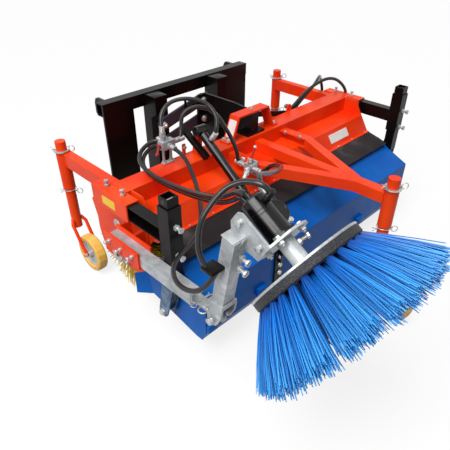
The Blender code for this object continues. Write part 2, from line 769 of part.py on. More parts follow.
# Link mast: column under the bridge strap, a long plate to the rear and the pivot plate
foot_z = BEAM_Z1 + GAP
mast = box((-COLUMN_HALF, BRIDGE_Y0 + 0.006, foot_z), (COLUMN_HALF, BRIDGE_Y1 - 0.004, BRIDGE_TOP - GAP))
join(mast, box((-FOOT_HALF, BRIDGE_Y0 - 0.006, foot_z + 0.0005), (FOOT_HALF, BEAM_Y1 - 0.002, foot_z + 0.010)))
mast_plate = [
    (0.060, 0.655), (0.060, 0.742), (0.200, 0.752), (LINK_Y0 - 0.006, 0.748), (LINK_Y0 - 0.006, 0.572),
    (0.360, 0.572), (0.240, 0.600), (0.130, 0.655),
]
join(mast, plate([mast_plate], "YZ", MAST_X - MAST_PLATE / 2, MAST_X + MAST_PLATE / 2))
link_back = LINK_Y0 + LINK_THICK
pivot_plate = [
    (-0.022, 0.745), (-0.030, 0.725), (-0.030, 0.590), (-0.020, 0.570), (0.046, 0.570), (0.054, 0.585),
    (0.054, 0.730), (0.046, 0.745),
]
join(mast, plate([pivot_plate], "XZ", LINK_Y0 - GAP - MAST_PLATE, LINK_Y0 - GAP))
for height in (LINK_UPPER_Z, LINK_LOWER_Z):
    join(mast, rod((LINK_RIGHT_X, LINK_Y0 - 0.008, height), (LINK_RIGHT_X, link_back + 0.006, height),
                   LINK_PIN, 16))
finish(mast, "link_mast", "black_paint")

# Link bars and the hitch frame that hangs on them
hitch_lower = joint_empty("lower_link_pivot", (LINK_RIGHT_X, LINK_Y0, LINK_LOWER_Z), root)
hitch_upper = joint_empty("upper_link_pivot", (LINK_RIGHT_X, LINK_Y0, LINK_UPPER_Z), root)
link_dx = -LINK_SPAN * math.cos(LINK_DROP)
link_dz = -LINK_SPAN * math.sin(LINK_DROP)
hitch_joint = joint_empty(
    "hitch_frame_pivot", (LINK_RIGHT_X + link_dx, LINK_Y0, LINK_LOWER_Z + link_dz), hitch_lower)
drop = math.degrees(LINK_DROP)
links = (
    ("link_upper", LINK_UPPER_Z, hitch_upper, OPEN_PIVOT_PLAY),
    ("link_lower", LINK_LOWER_Z, hitch_lower, PIN_PLAY),
)
for name, height, carrier, play in links:
    left = (LINK_RIGHT_X + link_dx, height + link_dz)
    right = (LINK_RIGHT_X, height)
    bar = circle(*right, LINK_HEIGHT / 2, 10, drop - 90.0, 180.0)
    bar += circle(*left, LINK_HEIGHT / 2, 10, drop + 90.0, 180.0)
    holes = [circle(*right, LINK_PIN + PIN_PLAY, 16), circle(*left, LINK_PIN + play, 16)]
    finish(plate([bar] + holes, "XZ", LINK_Y0, link_back), name, "link_paint", carrier)

top_bar = tube_section(HITCH_Y, HITCH_TOP - HITCH_BAR, HITCH_Y + HITCH_BAR_DEPTH, HITCH_TOP, HITCH_WALL)
hitch = plate(top_bar, "YZ", -HITCH_HALF, HITCH_HALF)
low_bar = tube_section(HITCH_Y + 0.001, HITCH_LOW, HITCH_Y + LOW_BAR_DEPTH, HITCH_LOW + LOW_BAR, HITCH_WALL)
join(hitch, plate(low_bar, "YZ", -HITCH_HALF, HITCH_HALF))
for side in (-1.0, 1.0):
    outer = [(side * OUTER_PLATE_IN, HITCH_LOW + 0.002), (side * (HITCH_HALF - 0.001), HITCH_LOW + 0.002),
             (side * (HITCH_HALF - 0.001), HITCH_TOP - 0.003), (side * OUTER_PLATE_IN, HITCH_TOP - 0.003)]
    join(hitch, plate([outer], "XZ", HITCH_Y + 0.002, HITCH_Y + 0.002 + HITCH_PLATE))
    inner_back = HITCH_Y + 0.020
    web = INNER_POST_FRONT + INNER_WALL
    deep = [
        (INNER_POST_IN, INNER_POST_FRONT), (INNER_POST_OUT, INNER_POST_FRONT), (INNER_POST_OUT, inner_back),
        (INNER_POST_OUT - INNER_WALL, inner_back), (INNER_POST_OUT - INNER_WALL, web),
        (INNER_POST_IN + INNER_WALL, web), (INNER_POST_IN + INNER_WALL, inner_back),
        (INNER_POST_IN, inner_back),
    ]
    deep = [(side * a, b) for a, b in deep]
    join(hitch, plate([deep], "XY", HITCH_LOW + 0.006, HITCH_TOP - 0.008))
    hook_x = side * (HITCH_HALF - HOOK_INSET)
    hook = [
        (HITCH_Y + 0.050, HITCH_TOP - 0.006), (HITCH_Y + 0.128, HITCH_TOP - 0.006),
        (HITCH_Y + 0.140, HITCH_TOP - 0.030), (HITCH_Y + 0.140, HITCH_TOP - 0.085),
        (HITCH_Y + 0.120, HITCH_TOP - 0.100), (HITCH_Y + 0.112, HITCH_TOP - 0.060),
        (HITCH_Y + 0.090, HITCH_TOP - 0.045), (HITCH_Y + 0.050, HITCH_TOP - 0.050),
    ]
    join(hitch, plate([hook], "YZ", hook_x - HOOK_HALF, hook_x + HOOK_HALF))
    eye = [(HITCH_Y + 0.030, HITCH_LOW + 0.004), (HITCH_Y + 0.095, HITCH_LOW + 0.004),
           (HITCH_Y + 0.112, HITCH_LOW + 0.020), (HITCH_Y + 0.112, HITCH_LOW + 0.070),
           (HITCH_Y + 0.095, HITCH_LOW + 0.090), (HITCH_Y + 0.030, HITCH_LOW + 0.120)]
    eye_hole = circle(HITCH_Y + 0.080, HITCH_LOW + 0.045, EYE_RADIUS, 16)
    join(hitch, plate([eye, eye_hole], "YZ", hook_x - HOOK_HALF, hook_x + HOOK_HALF))
bracket_y0 = link_back + GAP
bracket_x0 = LINK_RIGHT_X + link_dx - 0.034
bracket = [
    (bracket_x0, LINK_LOWER_Z + link_dz - 0.030), (bracket_x0 + 0.070, LINK_LOWER_Z + link_dz - 0.040),
    (bracket_x0 + 0.070, LINK_UPPER_Z + link_dz + 0.040), (bracket_x0, LINK_UPPER_Z + link_dz + 0.030),
]
join(hitch, plate([bracket], "XZ", bracket_y0, INNER_POST_FRONT + 0.003))
for height in (LINK_UPPER_Z, LINK_LOWER_Z):
    pin_x = LINK_RIGHT_X + link_dx
    join(hitch, rod((pin_x, LINK_Y0 - 0.006, height + link_dz), (pin_x, bracket_y0 + 0.005, height + link_dz),
                    LINK_PIN, 16))
finish(hitch, "hitch_frame", "black_paint", hitch_joint)

# Main brush: hollow core with end discs and shaft, and the bristle band
brush_joint = joint_empty("brush_axis", (0.0, BRUSH_Y, BRUSH_Z), root)
core_half = BRUSH_HALF - CORE_INSET
core = plate([circle(BRUSH_Y, BRUSH_Z, CORE_RADIUS, CORE_SIDES),
              circle(BRUSH_Y, BRUSH_Z, CORE_RADIUS - CORE_WALL, CORE_SIDES)],
             "YZ", -core_half, core_half)
for side in (-1.0, 1.0):
    loops = [circle(BRUSH_Y, BRUSH_Z, CORE_RADIUS - CORE_WALL + 0.002, CORE_SIDES)]
    for index in range(4):
        angle = math.radians(45 + 90 * index)
        loops.append(circle(BRUSH_Y + SPOKE_RING * math.cos(angle), BRUSH_Z + SPOKE_RING * math.sin(angle),
                            SPOKE_HOLE, 6))
    inner, outer = side * (core_half - 0.014), side * (core_half - 0.004)
    join(core, plate(loops, "YZ", min(inner, outer), max(inner, outer)))
join(core, rod((-(END_PLATE_IN + SHAFT_LEFT), BRUSH_Y, BRUSH_Z), (END_PLATE_IN + SHAFT_RIGHT, BRUSH_Y, BRUSH_Z),
               SHAFT_RADIUS, 16))
finish(core, "brush_core", "black_paint", brush_joint)


def strand_group(rows, radius, tip_radius):
    """Thin three-sided strands between pairs of points, as one mesh."""
    bm = bmesh.new()
    for start, end in rows:
        axis = end - start
        turn = axis.to_track_quat("Z", "Y").to_matrix().to_4x4()
        matrix = Matrix.Translation((start + end) / 2) @ turn
        bmesh.ops.create_cone(bm, cap_ends=True, segments=3, radius1=radius, radius2=tip_radius,
                              depth=axis.length, matrix=matrix)
    mesh = bpy.data.meshes.new("strands")
    bm.to_mesh(mesh)
    bm.free()
    return mesh_object(mesh)


band_inner = CORE_RADIUS + GAP
band_outer = CORE_RADIUS + BACKING
band = plate([circle(BRUSH_Y, BRUSH_Z, band_outer, CORE_SIDES), circle(BRUSH_Y, BRUSH_Z, band_inner, CORE_SIDES)],
             "YZ", -core_half, core_half)
rows = []
for ring in range(MAIN_RINGS):
    along = -BRUSH_HALF + 0.014 + (2 * BRUSH_HALF - 0.028) * ring / (MAIN_RINGS - 1)
    for index in range(MAIN_AROUND):
        angle = 2 * math.pi * (index + 0.5 * (ring % 2) + 0.13) / MAIN_AROUND
        out = Vector((0.0, math.cos(angle), math.sin(angle)))
        centre = Vector((along, BRUSH_Y, BRUSH_Z))
        rows.append((centre + out * (band_outer - 0.005), centre + out * BRUSH_RADIUS))
join(band, strand_group(rows, MAIN_STRAND, MAIN_STRAND * 0.7))
finish(band, "brush_bristles", "yellow_bristle", brush_joint)

# Left bearing and right motor of the main brush
bearing_x = END_PLATE_IN + PLATE + GAP
bearing_bore = SHAFT_RADIUS + 2 * PIN_PLAY
eighth = [(-BEARING_HALF, -BEARING_CORNER), (-BEARING_CORNER, -BEARING_HALF)]
flange = []
for quarter in range(4):
    turn = math.radians(90.0 * quarter)
    flange += [(BRUSH_Y + a * math.cos(turn) - b * math.sin(turn),
                BRUSH_Z + a * math.sin(turn) + b * math.cos(turn)) for a, b in eighth]
bearing = plate([flange, circle(BRUSH_Y, BRUSH_Z, bearing_bore, 16)], "YZ",
                -(bearing_x + BEARING_FLANGE), -bearing_x)
join(bearing, plate([circle(BRUSH_Y, BRUSH_Z, BEARING_BOSS, 20), circle(BRUSH_Y, BRUSH_Z, bearing_bore, 16)],
                    "YZ", -(bearing_x + BEARING_DEPTH), -(bearing_x + OVERLAP)))
finish(bearing, "brush_bearing_left", "zinc", smooth=True)
motor_end_x = bearing_x + MAIN_MOTOR_LENGTH
block_x = motor_end_x - 0.040
motor = plate([flange], "YZ", bearing_x, bearing_x + MOTOR_FLANGE)
join(motor, rod((bearing_x + MOTOR_FLANGE - OVERLAP, BRUSH_Y, BRUSH_Z), (motor_end_x, BRUSH_Y, BRUSH_Z),
                MAIN_MOTOR_RADIUS, 20))
join(motor, box((block_x - 0.020, BRUSH_Y - PORT_BLOCK_HALF, BRUSH_Z + 0.030),
                (block_x + 0.020, BRUSH_Y + PORT_BLOCK_HALF, BRUSH_Z + PORT_BLOCK_TOP)))
cut(motor, rod((bearing_x - 0.010, BRUSH_Y, BRUSH_Z), (bearing_x + 0.012, BRUSH_Y, BRUSH_Z), bearing_bore, 16))
finish(motor, "main_motor", "motor_black", smooth=True)


# Casters
def caster(label, x, y, guide_top):
    """Stem with its round-bar fork, hub, tyre and the collar on top of the guide."""
    swivel = joint_empty(label + "_swivel", (x, y, guide_top), root)
    lift = joint_empty(label + "_lift", (x, y, guide_top), swivel)
    wheel_y = y - WHEEL_TRAIL
    spin = joint_empty(label + "_axle", (x, wheel_y, WHEEL_RADIUS), lift)
    stem = rod((x, y, STEM_LOW), (x, y, guide_top + STEM_TOP_ABOVE), STEM_RADIUS, 24)
    for side in (-1.0, 1.0):
        route = [
            (x + side * 0.018, y - 0.004, STEM_LOW + 0.052), (x + side * FORK_HALF, y - 0.016, STEM_LOW + 0.040),
            (x + side * FORK_HALF, y - 0.036, STEM_LOW + 0.010),
            (x + side * FORK_HALF, y - 0.072, WHEEL_RADIUS + 0.060),
            (x + side * FORK_HALF, wheel_y - 0.001, WHEEL_RADIUS - 0.002),
        ]
        join(stem, bar_curve(route, FORK_BAR, 2, 7))
    reach = FORK_HALF + FORK_BAR + OVERLAP
    join(stem, rod((x - reach, wheel_y, WHEEL_RADIUS), (x + reach, wheel_y, WHEEL_RADIUS), AXLE_RADIUS, 12))
    finish(stem, label + "_stem", "red_paint", lift, True)
    half = WHEEL_WIDTH / 2
    bore = AXLE_RADIUS + PIN_PLAY
    right_side = [(bore, half), (HUB_BOSS, half), (HUB_BOSS + 0.002, 0.010), (HUB_RADIUS - 0.010, 0.008),
                  (HUB_RADIUS, RIM_HALF)]
    hub_profile = right_side + [(radius, -place) for radius, place in reversed(right_side)]
    finish(turned(hub_profile, (x, wheel_y, WHEEL_RADIUS), (1, 0, 0), 20), label + "_hub", "zinc", spin, True)
    inner = HUB_RADIUS + GAP * 2
    right_side = [(inner, RIM_HALF), (inner + TYRE_ROUND, half), (WHEEL_RADIUS - TYRE_ROUND, half),
                  (WHEEL_RADIUS - 0.001, half - TYRE_ROUND)]
    left_side = [(radius, -place) for radius, place in reversed(right_side)]
    tyre_profile = right_side + [(WHEEL_RADIUS, 0.0)] + left_side
    finish(turned(tyre_profile, (x, wheel_y, WHEEL_RADIUS), (1, 0, 0), 20), label + "_tyre", "tyre", spin, True)
    low = guide_top + GAP
    ring = plate([circle(x, y, COLLAR_RADIUS, 24), circle(x, y, guide_bore, 24)], "XY", low, low + COLLAR_THICK)
    finish(ring, label + "_collar", "zinc", swivel, True)


caster("caster_left", -GUIDE_X, GUIDE_Y, GUIDE_Z1)
caster("caster_right", GUIDE_X, GUIDE_Y, GUIDE_Z1)
caster("caster_front", 0.0, FRONT_GUIDE_Y, FRONT_GUIDE_Z1)

# Bin posts with their pivot prongs
post_joints = {}
for side, label in ((-1.0, "left"), (1.0, "right")):
    slide = joint_empty("bin_post_slide_" + label, (side * POST_X, POST_Y, INNER_POST_Z1), root)
    post_joints[label] = slide
    half = INNER_POST / 2
    centre_x = side * POST_X
    tube = tube_section(centre_x - half, POST_Y - half, centre_x + half, POST_Y + half, INNER_POST_WALL)
    post = plate(tube, "XY", INNER_POST_Z0, INNER_POST_Z1)
    prong = [(POST_Y + half - 0.002, INNER_POST_Z0 + 0.070), (POST_Y - half + 0.002, INNER_POST_Z0 + 0.070),
             (POST_Y - half + 0.002, INNER_POST_Z0 - 0.020)]
    prong += circle(BIN_PIVOT_Y, BIN_PIVOT_Z, PRONG_RADIUS, 8, 190.0, 180.0)
    play = PIN_PLAY if side < 0 else OPEN_PIVOT_PLAY
    hole = circle(BIN_PIVOT_Y, BIN_PIVOT_Z, BIN_PIN_RADIUS + play, 16)
    for inner in (POST_X - half + PRONG_SEAT, POST_X + half - THICK_PLATE - PRONG_SEAT):
        low, high = sorted((side * inner, side * (inner + THICK_PLATE)))
        join(post, plate([prong, hole], "YZ", low, high))
    finish(post, "bin_post_" + label, "black_paint", slide)

# Bin: bent sheet, side plates with flared rear wings, strap with the cylinder lug
bin_joint = joint_empty("bin_pivot", (0.0, BIN_PIVOT_Y, BIN_PIVOT_Z), post_joints["left"])
floor_end_z = BIN_FLOOR_Z + (BIN_FLOOR_END - BIN_FLOOR_Y) * BIN_FLOOR_SLOPE
side_end_z = BIN_FLOOR_Z + (BIN_SIDE_END - BIN_FLOOR_Y) * BIN_FLOOR_SLOPE
bin_path = [
    (BIN_LID_Y, BIN_LID_Z), (BIN_FOLD_Y, BIN_FOLD_Z), (BIN_FRONT_Y, BIN_FRONT_TOP),
    (BIN_FRONT_Y, BIN_FRONT_LOW), (BIN_FRONT_Y + BIN_CHAMFER, BIN_FLOOR_Z), (BIN_FLOOR_Y, BIN_FLOOR_Z),
    (BIN_FLOOR_END, floor_end_z),
]
bin_edge = BIN_HALF - GAP
finish(bent_sheet(bin_path, "YZ", -bin_edge, bin_edge, SHEET, 1.0), "bin_sheet", "blue_paint", bin_joint)
for side, label in ((-1.0, "left"), (1.0, "right")):
    bm = bmesh.new()
    rim = 0.001
    flat = [
        (BIN_LID_Y + 0.045, BIN_LID_Z - 0.014), (BIN_LID_Y, BIN_LID_Z + rim), (BIN_FOLD_Y, BIN_FOLD_Z + rim),
        (BIN_FRONT_Y - rim, BIN_FRONT_TOP + rim), (BIN_FRONT_Y - rim, BIN_FRONT_LOW),
        (BIN_FRONT_Y + BIN_CHAMFER - rim, BIN_FLOOR_Z - rim), (BIN_FLOOR_Y, BIN_FLOOR_Z - rim),
        (BIN_SIDE_END, side_end_z - rim), (BIN_SIDE_END + 0.028, side_end_z + 0.108),
    ]
    corners = [bm.verts.new((side * BIN_HALF, y, z)) for y, z in flat]
    face = bm.faces.new(corners)
    wing_low = bm.verts.new((side * (BIN_HALF + BIN_WING), 0.0, WING_LOW))
    wing_high = bm.verts.new((side * (BIN_HALF + BIN_WING), 0.0, WING_HIGH))
    bm.faces.new([corners[-1], corners[-2], wing_low, wing_high])
    bmesh.ops.recalc_face_normals(bm, faces=bm.faces)
    if bm.faces[:][0].normal.x * side < 0:
        bmesh.ops.reverse_faces(bm, faces=bm.faces)
    mesh = bpy.data.meshes.new("side")
    bm.to_mesh(mesh)
    bm.free()
    panel = mesh_object(mesh)
    solid = panel.modifiers.new("thickness", "SOLIDIFY")
    solid.thickness = BIN_SIDE
    solid.offset = 1.0
    solid.use_even_offset = True
    outer = BIN_HALF + BIN_SIDE
    boss_out = POST_X - INNER_POST / 2 + PRONG_SEAT - GAP
    join(panel, rod((side * (outer - 0.001), BIN_PIVOT_Y, BIN_PIVOT_Z),
                    (side * boss_out, BIN_PIVOT_Y, BIN_PIVOT_Z), BIN_BOSS, 16))
    join(panel, rod((side * (outer - 0.002), BIN_PIVOT_Y, BIN_PIVOT_Z),
                    (side * (POST_X + INNER_POST / 2 + 0.003), BIN_PIVOT_Y, BIN_PIVOT_Z), BIN_PIN_RADIUS, 16))
    finish(panel, "bin_side_" + label, "blue_paint", bin_joint)
strap_back = BIN_FRONT_Y - GAP
strap_half = STRAP_WIDTH / 2
strap_front = strap_back - THICK_PLATE
strap = box((CYL_X - strap_half, strap_front, STRAP_LOW), (CYL_X + strap_half, strap_back, STRAP_TOP))
lug = [(strap_back - 0.001, STRAP_TOP - 0.060), (strap_back - 0.001, STRAP_TOP + 0.010)]
lug += circle(CYL_EYE_Y, CYL_EYE_Z, CLEVIS_RADIUS, 10, 0.0, 200.0)
lug += [(CYL_EYE_Y - CLEVIS_RADIUS, STRAP_TOP - 0.010), (CYL_EYE_Y - 0.004, STRAP_TOP - 0.060)]
eye_lug_half = EYE_LUG / 2
join(strap, plate([lug, circle(CYL_EYE_Y, CYL_EYE_Z, EYE_BOLT, 10)], "YZ",
                  CYL_X - eye_lug_half, CYL_X + eye_lug_half))
finish(strap, "bin_strap", "black_paint", bin_joint)

# Dump cylinder
cyl_rear = Vector((CYL_X, CYL_REAR_Y, CYL_REAR_Z))
cyl_eye = Vector((CYL_X, CYL_EYE_Y, CYL_EYE_Z))
cyl_dir = (cyl_eye - cyl_rear).normalized()
cyl_length = (cyl_eye - cyl_rear).length
cyl_up = Vector((0.0, cyl_dir.z, -cyl_dir.y))
barrel_joint = joint_empty("barrel_pivot", cyl_rear, root)
rod_joint = joint_empty("rod_slide", cyl_eye, barrel_joint)


def along(distance, lift=0.0, across=0.0):
    return cyl_rear + cyl_dir * distance + cyl_up * lift + Vector((across, 0.0, 0.0))


def cylinder_plate(loops, start, end):
    """A plate across X, drawn as (distance along the cylinder, height off its axis)."""
    placed = []
    for loop in loops:
        points = [along(a, b) for a, b in loop]
        placed.append([(point.y, point.z) for point in points])
    return plate(placed, "YZ", start, end)


barrel = rod(along(CYL_START), along(CYL_END), CYL_RADIUS, 20)
eye = circle(0.0, 0.0, 0.018, 10, 60.0, 240.0) + [(CYL_START + 0.010, -0.014), (CYL_START + 0.010, 0.014)]
join(barrel, cylinder_plate([eye], CYL_X - EYE_THICK / 2, CYL_X + EYE_THICK / 2))
cut(barrel, rod((CYL_X - 0.02, CYL_REAR_Y, CYL_REAR_Z), (CYL_X + 0.02, CYL_REAR_Y, CYL_REAR_Z),
                CYL_PIN + PIN_PLAY, 16))
for place, height in ((REAR_PORT_AT, REAR_PORT_TOP), (FRONT_PORT_AT, FRONT_PORT_TOP)):
    join(barrel, rod(along(place, CYL_RADIUS - OVERLAP), along(place, height), PORT_RADIUS, 12))
cut(barrel, rod(along(CYL_START + 0.018), along(CYL_END - 0.016), CYL_BORE, 20))
cut(barrel, rod(along(CYL_END - 0.020), along(CYL_END + 0.010), ROD_RADIUS + PIN_PLAY, 16))
finish(barrel, "cylinder_barrel", "motor_black", barrel_joint, True)
clevis_base = cyl_length - CLEVIS_THROAT
ram = rod(along(CYL_END - 0.050), along(clevis_base - 0.006), ROD_RADIUS, 16)
join(ram, rod(along(CYL_END - 0.046), along(CYL_END - 0.022), CYL_BORE - PIN_PLAY, 20))
cheek = [(clevis_base - 0.012, -CLEVIS_RADIUS), (cyl_length, -CLEVIS_RADIUS)]
cheek += circle(cyl_length, 0.0, CLEVIS_RADIUS, 8, -90.0, 180.0)[1:]
cheek += [(clevis_base - 0.012, CLEVIS_RADIUS)]
cheek_inner = eye_lug_half + GAP
for side in (-1.0, 1.0):
    low, high = sorted((CYL_X + side * cheek_inner, CYL_X + side * (cheek_inner + THICK_PLATE)))
    join(ram, cylinder_plate([cheek, circle(cyl_length, 0.0, EYE_BOLT, 10)], low, high))
web_reach = cheek_inner + THICK_PLATE - 0.0006
web_half = CLEVIS_RADIUS - 0.0006
web = rectangle(clevis_base - 0.0125, -web_half, clevis_base, web_half)
join(ram, cylinder_plate([web], CYL_X - web_reach, CYL_X + web_reach))
finish(ram, "cylinder_rod", "zinc", rod_joint, True)

# Slotted bar bolted beside the cylinder lug
bar_x1 = CYL_X - lug_inner - THICK_PLATE - GAP
slot_front = Vector((SLOT_FRONT_Y, SLOT_FRONT_Z))
slot_rear = Vector((SLOT_REAR_Y, SLOT_REAR_Z))
slot_dir = (slot_rear - slot_front).normalized()
slot_side = Vector((-slot_dir.y, slot_dir.x))


def slot_point(distance, lift):
    place = slot_front + slot_dir * distance + slot_side * lift
    return (place.x, place.y)


slot_length = (slot_rear - slot_front).length
bar_loop = [slot_point(0.0, -0.011), slot_point(slot_length, -0.011), slot_point(slot_length, 0.014),
            slot_point(0.0, 0.014)]
slot_loop = [slot_point(a, b) for a, b in rectangle(SLOT_END, -SLOT_HALF, slot_length - SLOT_END, SLOT_HALF)]
finish(plate([bar_loop, slot_loop], "YZ", bar_x1 - SLOT_BAR_WIDTH, bar_x1), "slotted_bar", "black_paint")

# Level bar with its tapered end, hung on the lug behind the beam
level_left = Vector((LEVEL_LEFT_X, LEVEL_LEFT_Z))
level_right = Vector((LEVEL_RIGHT_X, LEVEL_RIGHT_Z))
level_dir = (level_right - level_left).normalized()
level_side = Vector((-level_dir.y, level_dir.x))
level_length = (level_right - level_left).length


def level_point(distance, lift):
    place = level_left + level_dir * distance + level_side * lift
    return (place.x, place.y)


taper_at = level_length - LEVEL_TAPER
level_loop = [
    level_point(0.0, -LEVEL_BAR_HALF), level_point(taper_at, -LEVEL_BAR_HALF),
    level_point(level_length, -0.005), level_point(level_length, 0.005),
    level_point(taper_at, LEVEL_BAR_HALF), level_point(0.0, LEVEL_BAR_HALF),
]
finish(plate([level_loop], "XZ", LEVEL_Y, LEVEL_Y + LEVEL_BAR_THICK), "level_bar", "black_paint")

# Side brush bracket on the left end plate
arm_half = SIDE_ARM / 2
arm_z1 = SIDE_ARM_Z0 + SIDE_ARM
bracket_low = SIDE_ARM_Z0 - GAP - THICK_PLATE
cheek_x0 = SIDE_ARM_X - arm_half - CHANNEL_PLAY / 2 - THICK_PLATE
cheek_x1 = SIDE_ARM_X + arm_half + CHANNEL_PLAY / 2 + THICK_PLATE
bracket_high = arm_z1 + BRACKET_RISE
section = [
    (cheek_x0, bracket_low), (cheek_x1, bracket_low), (cheek_x1, bracket_high),
    (cheek_x1 - THICK_PLATE, bracket_high), (cheek_x1 - THICK_PLATE, bracket_low + THICK_PLATE),
    (cheek_x0 + THICK_PLATE, bracket_low + THICK_PLATE), (cheek_x0 + THICK_PLATE, bracket_high),
    (cheek_x0, bracket_high),
]
side_bracket = plate([section], "XZ", BRACKET_Y0, BRACKET_Y1)
base_x = -(END_PLATE_IN + PLATE + GAP)
join(side_bracket, box((base_x - THICK_PLATE, FIN_FRONT - THICK_PLATE, bracket_low - 0.010),
                       (base_x, BRACKET_Y1 + 0.020, arm_z1 + 0.010)))
for fin_y in (FIN_FRONT, BRACKET_Y1 - 0.014):
    fin = [(base_x - OVERLAP, bracket_low - 0.006), (base_x - OVERLAP, arm_z1 + 0.006),
           (cheek_x1 - OVERLAP, arm_z1 + 0.012), (cheek_x1 - OVERLAP, bracket_low + 0.004)]
    join(side_bracket, plate([fin], "XZ", fin_y, fin_y + THICK_PLATE))
finish(side_bracket, "side_bracket", "red_paint")

# Side arm with its ear
arm_joint = joint_empty("side_arm_slide", (SIDE_ARM_X, SIDE_ARM_REAR, SIDE_ARM_Z0), root)
section = tube_section(SIDE_ARM_X - arm_half, SIDE_ARM_Z0, SIDE_ARM_X + arm_half, arm_z1, SIDE_ARM_WALL)
side_arm = plate(section, "XZ", SIDE_ARM_FRONT, SIDE_ARM_REAR)
ear = [(SIDE_ARM_FRONT + 0.020, SIDE_ARM_Z0 + 0.002), (SIDE_ARM_FRONT + 0.020, arm_z1 - 0.002)]
ear += circle(FOLD_Y, FOLD_Z, EAR_RADIUS, 10, 90.0, 180.0)
join(side_arm, plate([ear, circle(FOLD_Y, FOLD_Z, FOLD_PIN + PIN_PLAY, 16)], "YZ",
                     SIDE_ARM_X - EAR_THICK / 2, SIDE_ARM_X + EAR_THICK / 2))
join(side_arm, box((SIDE_ARM_X - arm_half + 0.002, SIDE_ARM_FRONT - 0.006, SIDE_ARM_Z0 + 0.001),
                   (SIDE_ARM_X + arm_half - 0.002, SIDE_ARM_FRONT + 0.004, arm_z1 - 0.001)))
finish(side_arm, "side_arm", "zinc", arm_joint)

# Side post on its fork
fold_joint = joint_empty("side_post_fold", (SIDE_ARM_X, FOLD_Y, FOLD_Z), arm_joint)
fork_x0 = SIDE_ARM_X - FORK_INNER / 2 - THICK_PLATE
fork_x1 = SIDE_ARM_X + FORK_INNER / 2 + THICK_PLATE
fork_top = POST_LOW_Z
lean = Vector((0.0, -math.sin(POST_LEAN), math.cos(POST_LEAN)))
post_low = Vector((SIDE_ARM_X, POST_LOW_Y, POST_LOW_Z + 0.004))
tube = tube_section(-arm_half, -arm_half, arm_half, arm_half, SIDE_ARM_WALL)
side_post = plate(tube, "XY", 0.0, POST_LENGTH)
side_post.matrix_world = (Matrix.Translation(post_low) @ Matrix.Rotation(POST_LEAN, 4, "X")
                          @ side_post.matrix_world)
cheek = [(FOLD_Y + FORK_CHEEK, fork_top + 0.001), (FOLD_Y - 0.046, fork_top + 0.001)]
cheek += [(FOLD_Y - 0.040, FOLD_Z + 0.030)]
cheek += circle(FOLD_Y, FOLD_Z, FORK_CHEEK, 8, 190.0, 170.0)
for low, high in ((fork_x0, fork_x0 + THICK_PLATE), (fork_x1 - THICK_PLATE, fork_x1)):
    join(side_post, plate([cheek], "YZ", low, high))
join(side_post, box((fork_x0 + 0.0005, FOLD_Y - 0.045, fork_top - OVERLAP),
                    (fork_x1 - 0.0005, FOLD_Y + FORK_CHEEK - 0.001, fork_top + 0.0095)))
join(side_post, rod((fork_x0 - 0.008, FOLD_Y, FOLD_Z), (fork_x1 + 0.008, FOLD_Y, FOLD_Z), FOLD_PIN, 16))
finish(side_post, "side_post", "zinc", fold_joint)

# Head: bracket, motor, hub, disc and bristles on the slanted brush axis
axis = Vector((0.0, -math.cos(AXIS_TILT), -math.sin(AXIS_TILT)))
axis_up = Vector((0.0, -math.sin(AXIS_TILT), math.cos(AXIS_TILT)))
disc_centre = Vector((HEAD_X, DISC_Y, DISC_Z))
motor_end = disc_centre - axis * MOTOR_BACK
tilt_at = post_low + lean * TILT_UP
tilt_joint = joint_empty("head_tilt", tilt_at, fold_joint)
spin_joint = joint_empty("side_brush_axis", disc_centre, tilt_joint)


def on_axis(distance, lift=0.0, across=0.0):
    return motor_end + axis * distance + axis_up * lift + Vector((across, 0.0, 0.0))


def axis_loop(points):
    """Places (distance along the axis, height off it) points in the Y and Z plane."""
    return [(on_axis(a, b).y, on_axis(a, b).z) for a, b in points]


head_x = SIDE_ARM_X + arm_half + GAP
plate_end = PLATE_AT + THICK_PLATE
tilt_along = (tilt_at - motor_end).dot(axis)
tilt_lift = (tilt_at - motor_end).dot(axis_up)
head_outline = axis_loop([
    (0.010, -0.030), (0.012, HEAD_LIFT - 0.014), (0.026, HEAD_LIFT), (plate_end, HEAD_LIFT),
    (plate_end, -0.050), (tilt_along + 0.042, tilt_lift + 0.002), (tilt_along + 0.018, tilt_lift - 0.024),
    (tilt_along - 0.016, tilt_lift - 0.024), (tilt_along - 0.036, tilt_lift - 0.002),
])
head = plate([head_outline], "YZ", head_x, head_x + THICK_PLATE)
mount_reach = HEAD_X - head_x - GAP * 10
mount_loop = [(mount_reach, -0.050), (mount_reach, HEAD_LIFT)] + circle(0.0, 0.0, ROUND_PLATE, 14, 70.0, 200.0)
mount = plate([mount_loop, circle(0.0, 0.0, SHAFT_HOLE, 16)], "XY", 0.0, THICK_PLATE)
frame_axes = Matrix((
    (-1.0, 0.0, 0.0, 0.0), (0.0, axis_up.y, axis.y, 0.0), (0.0, axis_up.z, axis.z, 0.0), (0.0, 0.0, 0.0, 1.0)))
mount.matrix_world = Matrix.Translation(on_axis(PLATE_AT)) @ frame_axes @ mount.matrix_world
join(head, mount)
finish(head, "head_bracket", "zinc", tilt_joint)

side_motor = rod(on_axis(0.0), on_axis(PLATE_AT - GAP), MOTOR_RADIUS, 20)
join(side_motor, rod(on_axis(DRUM_AT, -DRUM_HALF, DRUM_ACROSS), on_axis(DRUM_AT, DRUM_HALF, DRUM_ACROSS),
                     DRUM_RADIUS, 18))
join(side_motor, rod(on_axis(FEED_AT, FEED_LIFT, FEED_ACROSS), on_axis(DRUM_AT, FEED_LIFT, FEED_ACROSS),
                     PORT_RADIUS, 12))
top_port = MOTOR_RADIUS + TOP_PORT_RISE
join(side_motor, rod(on_axis(TOP_PORT_AT, MOTOR_RADIUS - 0.006), on_axis(TOP_PORT_AT, top_port), PORT_RADIUS, 12))
finish(side_motor, "side_motor", "motor_black", tilt_joint, True)

